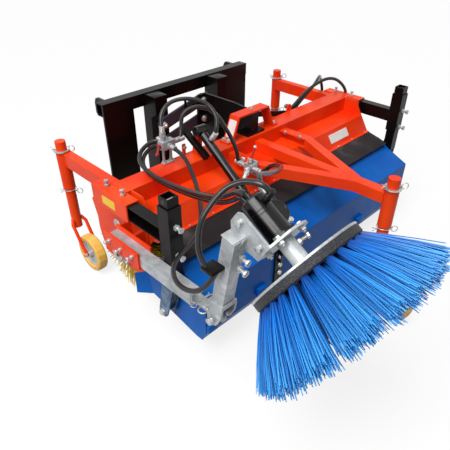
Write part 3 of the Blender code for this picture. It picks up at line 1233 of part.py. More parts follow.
hub_start = plate_end + HUB_PLAY
disc_top = MOTOR_BACK - DISC_THICK / 2
disc_low = MOTOR_BACK + DISC_THICK / 2
side_hub = rod(on_axis(hub_start), on_axis(disc_top + 0.001), HUB_TUBE, 20)
join(side_hub, rod(on_axis(PLATE_AT + GAP), on_axis(hub_start + 0.002), MOTOR_SHAFT, 12))
join(side_hub, rod(on_axis(disc_top), on_axis(disc_top + DISC_PLATE), DISC_RADIUS, 40))
finish(side_hub, "side_hub", "zinc", spin_joint, True)
disc = rod(on_axis(disc_top + DISC_PLATE + GAP), on_axis(disc_low), DISC_RADIUS, 40)
finish(disc, "side_disc", "motor_black", spin_joint, True)

outer_ring = rod(on_axis(disc_low + GAP), on_axis(disc_low + GAP + RING_DEPTH), TUFT_RING + RING_HALF, 32)
cut(outer_ring, rod(on_axis(disc_low - 0.01), on_axis(disc_low + 0.03), TUFT_RING - RING_HALF, 24))
strands = []
golden = math.pi * (3.0 - math.sqrt(5.0))
for tuft in range(TUFTS):
    angle = 2 * math.pi * tuft / TUFTS
    out = axis_up * math.cos(angle) + Vector((math.sin(angle), 0.0, 0.0))
    around = axis_up * -math.sin(angle) + Vector((math.cos(angle), 0.0, 0.0))
    base = on_axis(disc_low + GAP + RING_DEPTH * 0.5) + out * TUFT_RING
    tip = on_axis(disc_low + TIP_DROP) + out * TIP_RING
    for index in range(TUFT_STRANDS):
        spread = math.sqrt((index + 0.5) / TUFT_STRANDS)
        turn = golden * index
        offset = out * (math.cos(turn) * spread) + around * (math.sin(turn) * spread)
        ragged = axis * (TUFT_RAGGED * math.cos(turn) * spread)
        strands.append((base + offset * TUFT_ROOT, tip + offset * TUFT_FAN - ragged))
join(outer_ring, strand_group(strands, SIDE_STRAND, SIDE_STRAND * 0.6))
finish(outer_ring, "side_bristles", "blue_bristle", spin_joint)

# Valves and their levers
foot = BEAM_Z1 + GAP
valve = box((VALVE_L_X - 0.030, VALVE_L_Y - 0.014, foot), (VALVE_L_X + 0.030, VALVE_L_Y + 0.010, foot + 0.005))
for shift in (-0.020, 0.020):
    join(valve, rod((VALVE_L_X + shift, VALVE_L_Y, foot + 0.002),
                    (VALVE_L_X + shift, VALVE_L_Y, VALVE_BODY_Z0 + OVERLAP), 0.006, 12))
join(valve, box((VALVE_L_X - VALVE_HALF_LONG, VALVE_L_Y - VALVE_HALF_SHORT, VALVE_BODY_Z0),
                (VALVE_L_X + VALVE_HALF_LONG, VALVE_L_Y + VALVE_HALF_SHORT, VALVE_BODY_Z1)))
neck_x = VALVE_L_X - 0.018
join(valve, rod((neck_x, VALVE_L_Y, VALVE_BODY_Z1 - OVERLAP), (neck_x, VALVE_L_Y, VALVE_NECK_Z1), 0.010, 12))
join(valve, rod((VALVE_L_X + VALVE_HALF_LONG - 0.002, VALVE_L_Y, VALVE_PORT_Z),
                (VALVE_L_X + VALVE_SIDE_PORT, VALVE_L_Y, VALVE_PORT_Z), PORT_RADIUS, 12))
finish(valve, "valve_left", "zinc")
lever_x = VALVE_L_X - VALVE_HALF_LONG - GAP
lever_left = joint_empty("lever_left_pivot", (lever_x, VALVE_L_Y, VALVE_PORT_Z), root)
lever = rod((lever_x, VALVE_L_Y, VALVE_PORT_Z), (lever_x - 0.014, VALVE_L_Y, VALVE_PORT_Z), LEVER_HUB, 12)
lever_tip = (lever_x - 0.070, VALVE_L_Y - 0.070, VALVE_PORT_Z + 0.008)
join(lever, rod((lever_x - 0.009, VALVE_L_Y, VALVE_PORT_Z), lever_tip, LEVER_BAR, 10))
finish(lever, "lever_left", "lever_red", lever_left)
valve_x = -(FRAME_SPREAD + half_bar + GAP + PLATE)
valve_r = Vector((valve_x - VALVE_R_HALF, VALVE_R_Y, VALVE_R_Z))
valve = box((valve_x, VALVE_R_Y - 0.028, FRAME_Z0), (valve_x + PLATE, VALVE_R_Y + 0.028, VALVE_R_Z + 0.032))
join(valve, box((valve_r.x - VALVE_R_HALF, VALVE_R_Y - 0.022, VALVE_R_Z - VALVE_R_RISE),
                (valve_x + 0.001, VALVE_R_Y + 0.022, VALVE_R_Z + VALVE_R_RISE)))
for side in (-1.0, 1.0):
    port_start = valve_r + Vector((0.0, side * 0.020, 0.0))
    join(valve, rod(port_start, valve_r + Vector((0.0, side * VALVE_R_PORT, 0.0)), 0.010, 12))
finish(valve, "valve_right", "zinc")
lever_foot = valve_r + Vector((0.0, 0.0, VALVE_R_RISE + GAP))
lever_right = joint_empty("lever_right_pivot", lever_foot, root)
lever = rod(lever_foot, lever_foot + Vector((0.0, 0.0, 0.012)), LEVER_HUB, 12)
join(lever, rod(lever_foot + Vector((0.0, 0.0, 0.009)), lever_foot + Vector((0.030, 0.0, 0.070)), LEVER_BAR, 10))
finish(lever, "lever_right", "lever_red", lever_right)

# Hoses, each a smooth curve through hand-chosen route points
rear_port = along(REAR_PORT_AT, REAR_PORT_TOP)
motor_port = on_axis(FEED_AT, FEED_LIFT, FEED_ACROSS)
brush_port = Vector((block_x, BRUSH_Y, BRUSH_Z + PORT_BLOCK_TOP))
behind_beam = BEAM_Y1 + HOSE_RADIUS + PORT_GAP
behind_bar = LEVEL_Y + LEVEL_BAR_THICK + HOSE_RADIUS + PORT_GAP
valve_top = (neck_x, VALVE_L_Y, VALVE_NECK_Z1 + PORT_GAP)
valve_side = (VALVE_L_X + VALVE_SIDE_PORT + PORT_GAP, VALVE_L_Y, VALVE_PORT_Z)
valve_front = (VALVE_L_X, VALVE_L_Y - VALVE_HALF_SHORT - PORT_GAP, VALVE_PORT_Z - 0.003)
valve_rear = (VALVE_L_X, VALVE_L_Y + VALVE_HALF_SHORT + PORT_GAP, VALVE_PORT_Z + 0.005)
right_port = VALVE_R_PORT + PORT_GAP
over_arm = END_PLATE_IN
HOSE_ROUTES = {
    "hose_cylinder_rear": (18, [
        valve_top, (neck_x, VALVE_L_Y, 0.800), (-0.500, 0.125, 0.850), (-0.440, 0.132, 0.888),
        (-0.375, 0.090, 0.898), (-0.325, 0.030, 0.878), (-0.318, -0.020, 0.836), (-0.334, -0.040, 0.800), rear_port + cyl_up * 0.032,
        rear_port + cyl_up * PORT_GAP]),
    "hose_valve_link": (20, [
        valve_side, (-0.424, VALVE_L_Y, VALVE_PORT_Z), (-0.405, 0.112, 0.775), (-0.392, 0.118, 0.822),
        (-0.352, 0.098, 0.850), (-0.312, 0.060, 0.850), (-0.280, 0.020, 0.822), (-0.258, -0.030, 0.750),
        (-0.242, -0.070, 0.670), valve_r + Vector((0.0, 0.074, 0.0)), valve_r + Vector((0.0, right_port, 0.0))]),
    "hose_side_feed": (20, [
        valve_r - Vector((0.0, right_port, 0.0)), valve_r - Vector((0.0, 0.074, 0.0)), (-0.240, -0.270, 0.660),
        (-0.280, -0.350, 0.705), (-0.370, -0.430, 0.760), (-0.480, -0.500, 0.815), (-0.590, -0.545, 0.862),
        (-0.660, -0.568, 0.892), motor_port - axis * 0.036, motor_port - axis * PORT_GAP]),
    "hose_side_return": (26, [
        valve_front, (VALVE_L_X, 0.050, 0.724), (-0.509, -0.023, 0.712), (-0.532, -0.085, 0.689),
        (-0.560, -0.146, 0.662), (-0.600, -0.215, 0.640), (-0.660, -0.290, 0.612),
        (SIDE_ARM_X + 0.125, -0.352, 0.588), (SIDE_ARM_X + 0.045, -0.372, 0.574),
        (SIDE_ARM_X - 0.015, -0.392, 0.568), (SIDE_ARM_X - 0.055, -0.430, 0.564),
        (SIDE_ARM_X - 0.077, -0.480, 0.562), (SIDE_ARM_X - 0.081, -0.535, 0.570),
        (SIDE_ARM_X - 0.075, -0.590, 0.600),
        (SIDE_ARM_X - 0.055, -0.622, 0.650), (SIDE_ARM_X - 0.037, -0.634, 0.700)]),
    "hose_side_long": (25, [
        valve_rear, (VALVE_L_X, VALVE_L_Y + 0.048, 0.732), (-0.545, 0.168, 0.724), (-0.612, 0.150, 0.704),
        (-0.645, 0.108, 0.686), (-0.655, 0.050, 0.672), (-0.660, -0.050, 0.672), (-0.664, -0.160, 0.684),
        (-0.680, -0.310, 0.722), (-0.715, -0.450, 0.785), (-0.742, -0.540, 0.852),
        motor_end - axis * 0.042, motor_end - axis * PORT_GAP]),
    "hose_motor_right": (27, [
        (0.150, behind_beam + 0.0002, 0.590), (0.230, behind_beam + 0.0020, 0.589), (0.300, 0.128, 0.590),
        (0.365, behind_bar, 0.593), (0.437, behind_bar, 0.614), (0.512, 0.134, 0.668), (0.606, 0.130, 0.722),
        (over_arm - 0.060, 0.165, 0.745), (over_arm + 0.008, 0.203, 0.712), (over_arm + 0.058, 0.216, 0.640),
        (over_arm + 0.078, 0.214, 0.540), (over_arm + 0.080, 0.195, 0.440), (over_arm + 0.078, 0.152, 0.372),
        brush_port + Vector((0.0, 0.0, 0.020)), brush_port + Vector((0.0, 0.0, PORT_GAP))]),
}
for name, (count, route) in HOSE_ROUTES.items():
    finish(bar_curve(route, HOSE_RADIUS, 2, count), name, "hose", None, True)
head_loop = [
    on_axis(TOP_PORT_AT, top_port + PORT_GAP), on_axis(TOP_PORT_AT, top_port + 0.024),
    (SIDE_ARM_X + 0.075, -0.600, 0.925), (SIDE_ARM_X + 0.015, -0.575, 0.900), (SIDE_ARM_X - 0.040, -0.565, 0.830),
    (SIDE_ARM_X - 0.065, -0.580, 0.750), (SIDE_ARM_X - 0.065, -0.610, 0.700),
]
finish(bar_curve(head_loop, HOSE_RADIUS, 2, 16), "hose_head_loop", "hose", tilt_joint, True)

# The whole machine stands centred on the origin
bpy.context.view_layer.update()
depsgraph = bpy.context.evaluated_depsgraph_get()
low = Vector((1e9, 1e9, 1e9))
high = -low
for shape in parts.objects:
    if shape.type == "MESH":
        ready = shape.evaluated_get(depsgraph)
        for corner in ready.data.vertices:
            place = ready.matrix_world @ corner.co
            low = Vector(map(min, low, place))
            high = Vector(map(max, high, place))
root.location = (-(low.x + high.x) / 2, -(low.y + high.y) / 2, -low.z)
bpy.context.view_layer.update()
print("box", tuple(low), tuple(high), "pieces", sum(item.type == "MESH" for item in parts.objects))
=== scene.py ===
"""Looks of the attachment sweeping machine: finishes, brushes, hoses, fastenings, floor and light."""
import json
import math
import random

import bpy
from mathutils import Matrix, Vector


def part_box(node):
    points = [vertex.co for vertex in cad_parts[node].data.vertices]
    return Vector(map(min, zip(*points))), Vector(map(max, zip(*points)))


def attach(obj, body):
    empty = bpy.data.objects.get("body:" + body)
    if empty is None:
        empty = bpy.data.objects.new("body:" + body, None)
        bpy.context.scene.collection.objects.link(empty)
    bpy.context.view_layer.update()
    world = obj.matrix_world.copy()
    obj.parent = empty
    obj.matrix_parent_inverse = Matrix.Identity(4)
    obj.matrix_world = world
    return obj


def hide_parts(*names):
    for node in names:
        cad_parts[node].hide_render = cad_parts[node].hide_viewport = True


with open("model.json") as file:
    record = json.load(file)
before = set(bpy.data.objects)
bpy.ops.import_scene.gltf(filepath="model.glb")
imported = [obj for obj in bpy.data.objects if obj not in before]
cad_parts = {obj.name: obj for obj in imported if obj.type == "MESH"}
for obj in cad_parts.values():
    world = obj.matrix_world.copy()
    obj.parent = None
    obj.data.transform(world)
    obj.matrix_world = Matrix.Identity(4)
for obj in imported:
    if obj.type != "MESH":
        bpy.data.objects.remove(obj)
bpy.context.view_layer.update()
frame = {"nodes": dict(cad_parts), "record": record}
STRAND_SEED = 11
rng = random.Random(STRAND_SEED)

# Places below are written in the workshop layout: ground at z = 0, brush centre at x = 0.
# The beam's box, which the sleeves lengthen to the front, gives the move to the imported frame.
SLEEVE_FRONT_Y = -0.069
beam_low, beam_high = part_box("hood_beam")
SHIFT = Vector(((beam_low[0] + beam_high[0]) / 2, beam_low[1] - SLEEVE_FRONT_Y, 0.0))


def at(x, y, z):
    """A place of the layout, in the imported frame."""
    return Vector((x, y, z)) + SHIFT


# Camera, fitted to the photograph's corners
CAMERA_PLACE = (-1.6444, -1.4096, 1.5944)
CAMERA_TURN = (math.radians(55.24), 0.0, math.radians(-44.80))
camera_data = bpy.data.cameras.new("camera")
camera_data.lens = 37.61
camera_data.sensor_width = 36.0
camera_data.shift_y = 0.0025
camera = bpy.data.objects.new("camera", camera_data)
bpy.context.scene.collection.objects.link(camera)
camera.location = at(*CAMERA_PLACE)
camera.rotation_euler = CAMERA_TURN
bpy.context.scene.camera = camera


# Modelling by hand: helpers over the edit operators
WELD = 0.00002
SMOOTH_ANGLE = 35.0


def deselect():
    bpy.ops.object.select_all(action="DESELECT")


def make_active(piece):
    deselect()
    piece.select_set(True)
    bpy.context.view_layer.objects.active = piece


def apply_place():
    bpy.ops.object.transform_apply(location=True, rotation=True, scale=True)


def settle(piece, matrix):
    """Puts a piece in its place and leaves its object at the origin, unturned and unscaled."""
    make_active(piece)
    piece.matrix_world = matrix @ piece.matrix_world
    apply_place()
    return piece


def facing(place, direction, spin=0.0):
    """The matrix that stands a piece, modelled upright, at a place and along a direction."""
    turn = Vector(direction).to_track_quat("Z", "Y").to_matrix().to_4x4()
    return Matrix.Translation(place) @ turn @ Matrix.Rotation(spin, 4, "Z")


def edit_all(kind="VERT"):
    """Enters edit mode with everything selected."""
    bpy.ops.object.mode_set(mode="EDIT")
    bpy.ops.mesh.select_mode(type=kind)
    bpy.ops.mesh.select_all(action="SELECT")


def leave():
    bpy.ops.object.mode_set(mode="OBJECT")


def smooth(piece, degrees=SMOOTH_ANGLE):
    make_active(piece)
    bpy.ops.object.shade_smooth_by_angle(angle=math.radians(degrees))
    return piece


def named(piece, name):
    piece.name = name
    piece.data.name = name
    return piece


def outward(piece):
    """Welds doubles and points all faces out."""
    make_active(piece)
    edit_all()
    bpy.ops.mesh.remove_doubles(threshold=WELD)
    bpy.ops.mesh.normals_make_consistent(inside=False)
    leave()


def turned(name, rings, sides, hollow=False):
    """A piece turned about Z: a circle extruded from ring to ring and scaled to each radius."""
    deselect()
    radius, height = rings[0]
    bpy.ops.mesh.primitive_circle_add(
        vertices=sides, radius=radius, location=(0.0, 0.0, height), fill_type="NOTHING" if hollow else "NGON")
    piece = named(bpy.context.active_object, name)
    apply_place()
    edit_all("EDGE" if hollow else "FACE")
    for new_radius, new_height in rings[1:]:
        bpy.ops.mesh.extrude_region_move(TRANSFORM_OT_translate={"value": (0.0, 0.0, new_height - height)})
        if new_radius != radius:
            ratio = new_radius / radius
            bpy.ops.transform.resize(value=(ratio, ratio, 1.0), center_override=(0.0, 0.0, new_height))
        radius, height = new_radius, new_height
    leave()
    outward(piece)
    return smooth(piece)


def block(name, low, high, edge):
    """A block between two corners with its edges bevelled."""
    low, high = Vector(low), Vector(high)
    deselect()
    bpy.ops.mesh.primitive_cube_add(size=1.0, location=(low + high) / 2)
    piece = named(bpy.context.active_object, name)
    piece.scale = high - low
    apply_place()
    edit_all()
    bpy.ops.mesh.bevel(offset=edge, segments=2, affect="EDGES")
    leave()
    return smooth(piece)


def joined(name, pieces):
    make_active(pieces[0])
    for piece in pieces[1:]:
        piece.select_set(True)
    bpy.ops.object.join()
    return named(bpy.context.active_object, name)


def copy_of(master, matrix):
    piece = master.copy()
    piece.data = master.data.copy()
    bpy.context.scene.collection.objects.link(piece)
    piece.data.transform(matrix)
    return piece


def dress(piece, body, finish):
    """Gives a piece its finish and hangs it on its body."""
    piece.data.materials.clear()
    piece.data.materials.append(finish)
    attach(piece, body)
    return piece


def turned_part(name, body, finish, place, aim, rings, sides, hollow=False, spin=0.0):
    """A turned piece, stood at a place of the layout along an aim, and dressed."""
    piece = settle(turned(name, rings, sides, hollow), facing(at(*place), aim, spin))
    return dress(piece, body, finish)


def block_part(name, body, finish, low, high, edge):
    """A block between two corners of the layout, settled and dressed."""
    return dress(settle(block(name, low, high, edge), Matrix.Translation(SHIFT)), body, finish)


# Finishes
GAMMA = 2.2
WHITE = (1.0, 1.0, 1.0, 1.0)
BLACK = (0.0, 0.0, 0.0, 1.0)
EDGE_ROUNDING = 0.0018
EDGE_SAMPLES = 4


def linear(red, green, blue):
    return tuple((value / 255.0) ** GAMMA for value in (red, green, blue)) + (1.0,)


def grey(value):
    return (value, value, value, 1.0)


def give(tree, socket, value):
    """Links a value that comes from a node, and sets one that is a constant."""
    if isinstance(value, bpy.types.NodeSocket):
        tree.links.new(value, socket)
    else:
        socket.default_value = value


def mixed(tree, share, first, second, blend="MIX"):
    """The colour between two others, by a share."""
    made = tree.nodes.new("ShaderNodeMix")
    made.data_type = "RGBA"
    made.blend_type = blend
    for index, value in ((0, share), (6, first), (7, second)):
        give(tree, made.inputs[index], value)
    return made.outputs[2]


class Finish:
    """A material under construction: its node tree with short ways to add and join nodes."""

    def __init__(self, name, roughness=0.5, metallic=0.0, specular=0.5):
        self.material = bpy.data.materials.new(name)
        self.material.use_nodes = True
        self.tree = self.material.node_tree
        self.shader = self.tree.nodes["Principled BSDF"]
        self.set("Roughness", roughness)
        self.set("Metallic", metallic)
        self.set("Specular IOR Level", specular)
        self.place = self.tree.nodes.new("ShaderNodeTexCoord").outputs["Object"]

    def set(self, name, value):
        give(self.tree, self.shader.inputs[name], value)

    def node(self, kind, **inputs):
        made = self.tree.nodes.new(kind)
        for key, value in inputs.items():
            give(self.tree, made.inputs[key.title()], value)
        return made

    def noise(self, scale, detail):
        return self.node("ShaderNodeTexNoise", vector=self.place, scale=scale, detail=detail).outputs["Fac"]

    def attribute(self, name):
        made = self.node("ShaderNodeAttribute")
        made.attribute_name = name
        return made.outputs["Fac"]

    def ramp(self, value, *stops):
        """Colours by value: each stop is (value, colour)."""
        made = self.node("ShaderNodeValToRGB")
        self.tree.links.new(value, made.inputs["Fac"])
        elements = made.color_ramp.elements
        while len(elements) < len(stops):
            elements.new(0.5)
        for element, (place, colour) in zip(elements, stops):
            element.position = place
            element.color = colour
        return made.outputs["Color"]

    def mix(self, share, first, second, blend="MIX"):
        return mixed(self.tree, share, first, second, blend)

    def spread(self, value, low, high, start=0.0, end=1.0):
        """A value from start to end, spread from low to high."""
        made = self.node("ShaderNodeMapRange", value=value)
        for name, limit in (("From Min", start), ("From Max", end), ("To Min", low), ("To Max", high)):
            made.inputs[name].default_value = limit
        return made.outputs["Result"]

    def clouds(self, scale, detail, *stops):
        """Noise coloured by stops of value and tone."""
        return self.ramp(self.noise(scale, detail), *((place, linear(*tone)) for place, tone in stops))

    def grain(self, scale, detail, strength, distance, edge=EDGE_ROUNDING):
        """Relief from fine noise, with the piece's edges rounded where a radius is given."""
        height = self.noise(scale, detail)
        made = self.node("ShaderNodeBump", strength=strength, distance=distance, height=height)
        if edge:
            rounding = self.node("ShaderNodeBevel", radius=edge)
            rounding.samples = EDGE_SAMPLES
            self.tree.links.new(rounding.outputs["Normal"], made.inputs["Normal"])
        self.set("Normal", made.outputs["Normal"])


def sprayed_paint(name, dark, light, dust, gloss, coat, specular):
    """Sprayed paint: slow drift between two tones, faint orange peel and dust specks."""
    finish = Finish(name, gloss, specular=specular)
    drift = finish.clouds(3.2, 3.0, (0.30, dark), (0.72, light))
    specks = finish.ramp(finish.noise(scale=420.0, detail=2.0), (0.66, BLACK), (0.78, grey(0.35)))
    finish.set("Base Color", finish.mix(specks, drift, linear(*dust)))
    finish.set("Roughness", finish.spread(finish.noise(scale=9.0, detail=5.0), gloss - 0.08, gloss + 0.14))
    finish.set("Coat Weight", coat)
    finish.set("Coat Roughness", 0.15)
    finish.grain(170.0, 2.0, strength=0.12, distance=0.0008)
    return finish.material


def galvanised(name, dark, light, rough, metallic, spangle):
    """Hot-dip zinc: crystal flakes of slightly different grey over a cloudy ground."""
    finish = Finish(name, rough, metallic)
    flakes = finish.node("ShaderNodeTexVoronoi", vector=finish.place, scale=spangle)
    cloud = finish.clouds(7.0, 5.0, (0.32, dark), (0.68, light))
    tone = finish.ramp(flakes.outputs["Color"], (0.2, (0.78, 0.79, 0.80, 1.0)), (0.8, WHITE))
    finish.set("Base Color", finish.mix(1.0, cloud, tone, "MULTIPLY"))
    finish.set("Roughness", finish.spread(finish.noise(scale=24.0, detail=4.0), rough - 0.12, rough + 0.14))
    finish.grain(60.0, 4.0, strength=0.18, distance=0.001)
    return finish.material


def post_paint(prong_top, blend_half):
    """Black paint on the post; its prongs below are bare blue-grey steel."""
    finish = Finish("post_paint", 0.34, specular=0.14)
    height = finish.node("ShaderNodeSeparateXYZ", vector=finish.place).outputs["Z"]
    share = finish.spread(height, 0.0, 1.0, prong_top - blend_half, prong_top + blend_half)
    paint = finish.clouds(3.2, 3.0, (0.30, (14, 11, 11)), (0.72, (24, 19, 19)))
    steel = finish.clouds(30.0, 5.0, (0.34, (62, 86, 116)), (0.68, (122, 146, 170)))
    finish.set("Base Color", finish.mix(share, steel, paint))
    finish.grain(170.0, 2.0, strength=0.12, distance=0.0008)
    return finish.material


def flap_rubber():
    """Black sheet rubber with pale dust rubbed into it in clouds."""
    finish = Finish("flap_rubber", specular=0.2)
    clouds = finish.noise(scale=6.5, detail=7.0)
    ground = finish.ramp(
        clouds, (0.34, linear(34, 29, 30)), (0.56, linear(48, 44, 45)), (0.74, linear(82, 77, 77)))
    grain = finish.ramp(finish.noise(scale=260.0, detail=2.0), (0.35, grey(0.86)), (0.7, grey(1.08)))
    finish.set("Base Color", finish.mix(1.0, ground, grain, "MULTIPLY"))
    finish.set("Roughness", finish.spread(clouds, 0.58, 0.86))
    finish.grain(90.0, 5.0, strength=0.35, distance=0.0015)
    return finish.material


def clouded(name, roughness, clouds, grain, specular=0.5, edge=EDGE_ROUNDING):
    """Clouds of close tones with a fine grain; both rows start with their noise's scale and detail."""
    finish = Finish(name, roughness, specular=specular)
    finish.set("Base Color", finish.clouds(*clouds))
    finish.grain(*grain, edge=edge)
    return finish


def bristle(name, root, middle, tip, rough):
    """Extruded strands: colour runs from a painted shade at the root to a painted highlight at the tip, and
    differs from strand to strand.
    """
    finish = Finish(name, rough, specular=0.25)
    # Along the strand: the darker root is painted shade under the disc and between tufts, the lighter tip is
    # painted highlight
    length = finish.ramp(
        finish.attribute("along"), (0.0, linear(*root)), (0.24, linear(*middle)), (1.0, linear(*tip)))
    cool, warm = (0.46, 0.50, 0.62, 1.0), (1.60, 1.34, 1.12, 1.0)
    strand = finish.ramp(finish.attribute("tone"), (0.0, cool), (0.45, WHITE), (1.0, warm))
    finish.set("Base Color", finish.mix(1.0, length, strand, "MULTIPLY"))
    finish.grain(150.0, 2.0, strength=0.2, distance=0.0008, edge=0.0)
    return finish.material


def bare_coating(name, tone):
    """The coating of a bare plate, nearly even in tone."""
    finish = Finish(name, 0.5)
    colour = linear(*tone)
    darker = tuple(value * 0.9 for value in colour[:3]) + (1.0,)
    finish.set("Base Color", finish.ramp(finish.noise(scale=30.0, detail=3.0), (0.3, darker), (0.7, colour)))
    finish.grain(200.0, 2.0, strength=0.1, distance=0.0004)
    return finish.material


# Each paint: dark tone, light tone, dust, then gloss, coat and specular level
red_paint = sprayed_paint("orange_red_paint", (228, 50, 16), (248, 78, 24), (255, 160, 120), 0.34, 0.05, 0.14)
black_paint = sprayed_paint("black_gloss_paint", (14, 11, 11), (24, 19, 19), (90, 84, 80), 0.30, 0.04, 0.12)
link_paint = sprayed_paint("blue_grey_paint", (46, 47, 58), (64, 65, 78), (130, 130, 136), 0.42, 0.0, 0.15)
blue_paint = sprayed_paint("blue_paint", (6, 84, 168), (12, 104, 194), (90, 150, 210), 0.40, 0.02, 0.12)
motor_paint = sprayed_paint("motor_black", (7, 7, 9), (14, 14, 17), (60, 60, 66), 0.16, 0.22, 0.25)
lever_paint = sprayed_paint("lever_coating", (150, 42, 38), (180, 56, 46), (200, 120, 110), 0.4, 0.05, 0.2)
post_black = post_paint(prong_top=0.396, blend_half=0.003)
# Each zinc: dark tone, light tone, then roughness, metallic share and fineness of the flakes
zinc = galvanised("galvanised_steel", (152, 158, 160), (204, 207, 209), 0.40, 0.36, 55.0)
bright_zinc = galvanised("plated_fastener", (168, 170, 169), (214, 215, 213), 0.28, 0.55, 160.0)
rubber = flap_rubber()
# Cut edge of the brush disc, speckled and matt; cream-yellow wheel tread; wrapped cover of the hoses
plastic = clouded("disc_plastic", 0.6, (
    330.0, 3.0, (0.36, (30, 31, 33)), (0.60, (62, 64, 66)), (0.78, (112, 114, 116))),
    (330.0, 3.0, 0.4, 0.0009), specular=0.25).material
tread = clouded("tyre_rubber", 0.5, (
    16.0, 4.0, (0.3, (222, 164, 62)), (0.7, (246, 200, 104))), (140.0, 3.0, 0.25, 0.001)).material
hose_finish = clouded("hose_rubber", 0.26, (
    12.0, 3.0, (0.3, (18, 16, 16)), (0.7, (38, 36, 36))), (360.0, 2.0, 0.22, 0.0004), specular=0.3, edge=0.0)
hose_finish.set("Coat Weight", 0.3)
hose_cover = hose_finish.material
# Each strand: tones at its root (darker, painted shade), middle and tip (lighter, painted highlight), then
# roughness
blue_strand = bristle("blue_strands", (6, 38, 118), (22, 110, 204), (66, 158, 234), 0.36)
yellow_strand = bristle("yellow_strands", (196, 158, 24), (232, 200, 36), (246, 222, 70), 0.45)
pale_coating = bare_coating("pale_plate", (236, 232, 228))
yellow_coating = bare_coating("yellow_plate", (244, 202, 56))

NODE_FINISH = {
    "red_paint": red_paint, "black_paint": black_paint, "link_paint": link_paint, "blue_paint": blue_paint,
    "zinc": zinc, "tyre": tread, "rubber": rubber, "hose": hose_cover, "motor_black": motor_paint,
    "lever_red": lever_paint, "blue_bristle": blue_strand, "yellow_bristle": yellow_strand,
}
slot_of = {row["node"]: row["material_slot"] for row in frame["record"]["subparts"]}
for name, node in frame["nodes"].items():
    node.data.materials.clear()
    node.data.materials.append(NODE_FINISH[slot_of[name]])
for label in ("left", "right", "front"):
    frame["nodes"]["caster_%s_collar" % label].data.materials[0] = bright_zinc
for label in ("left", "right"):
    frame["nodes"]["bin_post_%s" % label].data.materials[0] = post_black


# Hoses: the same routes as the source's, drawn round and fine
HOSE_DIAMETER = 0.018
HOSE_POINTS = 90
HOSE_SMOOTH_ANGLE = 50.0
CURVE_STEPS = 12
EASING_ROUNDS = 14


def smooth_line(points, count):
    """Evenly spaced points on a smooth curve through the route's own points."""
    route = [Vector(point) for point in points]
    padded = [2 * route[0] - route[1]] + route + [2 * route[-1] - route[-2]]
    fine = []
    for index in range(1, len(padded) - 2):
        a, b, c, d = padded[index - 1:index + 3]
        for step in range(CURVE_STEPS):
            t = step / CURVE_STEPS
            fine.append(0.5 * ((2 * b) + (c - a) * t + (2 * a - 5 * b + 4 * c - d) * t * t
                               + (3 * b - a - 3 * c + d) * t ** 3))
    fine.append(route[-1])
    lengths = [0.0]
    for first, second in zip(fine, fine[1:]):
        lengths.append(lengths[-1] + (second - first).length)
    line = []
    place = 0
    for index in range(count):
        target = lengths[-1] * index / (count - 1)
        while place < len(fine) - 2 and lengths[place + 1] < target:
            place += 1
        share = (target - lengths[place]) / (lengths[place + 1] - lengths[place])
        line.append(fine[place].lerp(fine[place + 1], min(share, 1.0)))
    return line


def hose_line(points):
    """The route with a straight length at each end, square to what it meets."""
    line = [Vector(point) for point in points]
    radius = HOSE_DIAMETER / 2
    lead_in = (line[1] - line[0]).normalized() * radius
    lead_out = (line[-2] - line[-1]).normalized() * radius
    middle = [line[0] + lead_in] + line[1:-1] + [line[-1] + lead_out]
    fine = smooth_line(middle, HOSE_POINTS)
    for _ in range(EASING_ROUNDS):
        eased = [a * 0.25 + b * 0.5 + c * 0.25 for a, b, c in zip(fine[1:], fine[2:], fine[3:])]
        fine = fine[:2] + eased[:-1] + fine[-2:]
    return [line[0]] + fine + [line[-1]]


def tube(name, line, radius, sides):
    """A round tube along a line, as a curve made into a mesh with its ends welded."""
    curve = bpy.data.curves.new(name, "CURVE")
    curve.dimensions = "3D"
    curve.bevel_depth = radius
    curve.bevel_resolution = sides // 4
    curve.use_fill_caps = True
    spline = curve.splines.new("POLY")
    spline.points.add(len(line) - 1)
    for point, place in zip(spline.points, line):
        point.co = (*place, 1.0)
    piece = bpy.data.objects.new(name, curve)
    bpy.context.scene.collection.objects.link(piece)
    make_active(piece)
    bpy.ops.object.convert(target="MESH")
    piece = bpy.context.active_object
    piece.name = name
    outward(piece)
    return smooth(piece, HOSE_SMOOTH_ANGLE)


# Axis of the slanted side brush and of the dump cylinder, as in the source
AXIS_TILT = math.radians(30.7)
SIDE_ARM_X = -0.865
HEAD_X = SIDE_ARM_X + 0.11
DISC_PLACE = Vector((HEAD_X, -0.842, 0.738))
MOTOR_BACK = 0.248
MOTOR_RADIUS = 0.0425
PLATE_AT = 0.143
PLATE_END = 0.151
DISC_HALF = 0.014
brush_axis = Vector((0.0, -math.cos(AXIS_TILT), -math.sin(AXIS_TILT)))
brush_up = Vector((0.0, -math.sin(AXIS_TILT), math.cos(AXIS_TILT)))
motor_end = DISC_PLACE - brush_axis * MOTOR_BACK


def on_axis(distance, lift=0.0, across=0.0):
    """A place on the side brush's axis, counted from the motor's end."""
    return motor_end + brush_axis * distance + brush_up * lift + Vector((across, 0.0, 0.0))


CYL_REAR = Vector((-0.345, 0.055, 0.755))
CYL_EYE = Vector((-0.345, -0.445, 0.383))
PORT_ALONG = 0.07
PORT_LIFT = 0.034
cyl_dir = (CYL_EYE - CYL_REAR).normalized()
cyl_up = Vector((0.0, cyl_dir.z, -cyl_dir.y))
rear_port = CYL_REAR + cyl_dir * PORT_ALONG + cyl_up * PORT_LIFT

